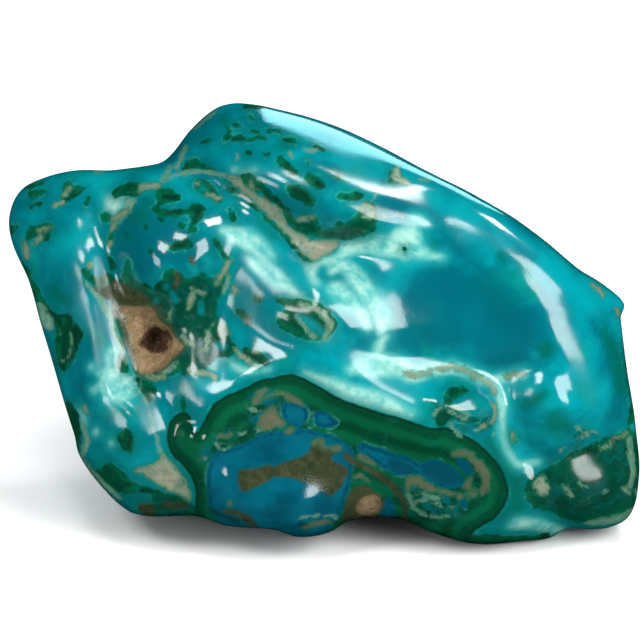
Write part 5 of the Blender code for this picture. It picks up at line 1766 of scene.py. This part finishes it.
# %% Camera, square to the show face
CAMERA_DISTANCE = 0.667
FRAME_RIGHT, FRAME_UP = -0.375 * MM, 0.3125 * MM
lean = math.radians(LEAN_DEG)
right, up = np.array([1.0, 0.0, 0.0]), np.array([0.0, math.sin(lean), math.cos(lean)])
forward = np.array([0.0, math.cos(lean), -math.sin(lean)])
spans = [(standing_points @ axis) for axis in (right, up, forward)]
middle = [(s.min() + s.max()) / 2 for s in spans]
aim = (middle[0] + FRAME_RIGHT) * right + (middle[1] + FRAME_UP) * up + middle[2] * forward

lens = bpy.data.cameras.new("show_face_camera")
lens.lens, lens.sensor_width = 300.0, 36.0
camera = bpy.data.objects.new("show_face_camera", lens)
camera.location = aim - CAMERA_DISTANCE * forward
camera.rotation_euler = (math.pi / 2 - lean, 0.0, 0.0)
bpy.context.scene.collection.objects.link(camera)
bpy.context.scene.camera = camera
print("Camera at", [round(x, 3) for x in camera.location])

# %% [markdown]
# The floor is one large pale square. The stone would mirror it as a hard grey line along its lower edge,
# so it is hidden from reflections.

# %% A plain pale floor
def add_floor(half_size):
    """A flat square at z = 0: x and y run from -half_size to half_size."""
    s = half_size
    return add_surface("pale_floor", [(-s, -s, 0), (s, -s, 0), (s, s, 0), (-s, s, 0)], [(0, 1, 2, 3)])


floor = add_floor(2.0)
paper = bpy.data.materials.new("pale_paper")
paper.use_nodes = True
matt = paper.node_tree.nodes["Principled BSDF"].inputs
matt["Base Color"].default_value = (0.9, 0.9, 0.9, 1.0)
matt["Roughness"].default_value = 0.9
matt["Specular IOR Level"].default_value = 0.0
floor.data.materials.append(paper)
floor.visible_glossy = False
print("Floor:", floor.dimensions[0], "m wide")

# %% [markdown]
# Polish shows its surroundings, so the lights are placed by where their reflections fall: on the bulb, on
# the brow, along the top edge and down the right-hand ridge. A small lamp leaves a sharp spark and a tall
# one a long band. A blue card behind tints the band along the top edge. A wide faint fill lights the
# colour alone, since polish would mirror it as haze.

# %% Softboxes
LAMP_DISTANCE, STONE_MIDDLE = 0.6, 0.025


def softbox(name, azimuth, elevation, size, brightness):
    """A rectangular lamp facing the stone from a compass angle and a height, both in degrees.

    Azimuth 0 is the camera's side and 90 is the right. Power follows from area, so that brightness is
    what is seen in the polish.
    """
    turn, tilt = math.radians(azimuth), math.radians(elevation)
    lamp = bpy.data.lights.new(name, "AREA")
    lamp.shape, lamp.size, lamp.size_y = "RECTANGLE", size[0], size[1]
    lamp.energy = brightness * size[0] * size[1] * math.pi
    holder = bpy.data.objects.new(name, lamp)
    bpy.context.scene.collection.objects.link(holder)
    x, y = math.sin(turn) * math.cos(tilt), -math.cos(turn) * math.cos(tilt)
    away = LAMP_DISTANCE * np.array([x, y, math.sin(tilt)])
    holder.location = away + [0.0, 0.0, STONE_MIDDLE]
    holder.rotation_euler = (math.pi / 2 - tilt, 0.0, turn)
    holder.visible_camera = False
    return holder


softbox("overhead_softbox", -25, 72, (0.13, 0.13), 15.0)
softbox("left_softbox", -46, 46, (0.16, 0.18), 15.0)
softbox("window_behind", 137, 50, (0.13, 0.14), 22.0)
softbox("low_left_softbox", -56, 12, (0.18, 0.18), 8.0)
softbox("right_strip", 48, 32, (0.28, 0.46), 11.5)
card = softbox("blue_card_behind", 170, 15.5, (0.17, 0.22), 4.5)
card.data.color = (0.42, 0.9, 1.0)
fill = softbox("matt_fill", 20, 74, (0.6, 0.6), 0.78)
fill.visible_glossy = False

# %% [markdown]
# A white sky fills the shadows evenly. It is hidden from reflections too, so that the dark greens stay
# deep. The Standard view shows the display colours as they were given.

# %% An even sky
SKY_STRENGTH = 0.31
sky = bpy.data.worlds.new("even_sky")
sky.use_nodes = True
sky.node_tree.nodes["Background"].inputs["Color"].default_value = (1.0, 1.0, 1.0, 1.0)
sky.node_tree.nodes["Background"].inputs["Strength"].default_value = SKY_STRENGTH
sky.cycles_visibility.glossy = False
bpy.context.scene.world = sky
bpy.context.scene.view_settings.view_transform = "Standard"
print("Sky strength:", SKY_STRENGTH)
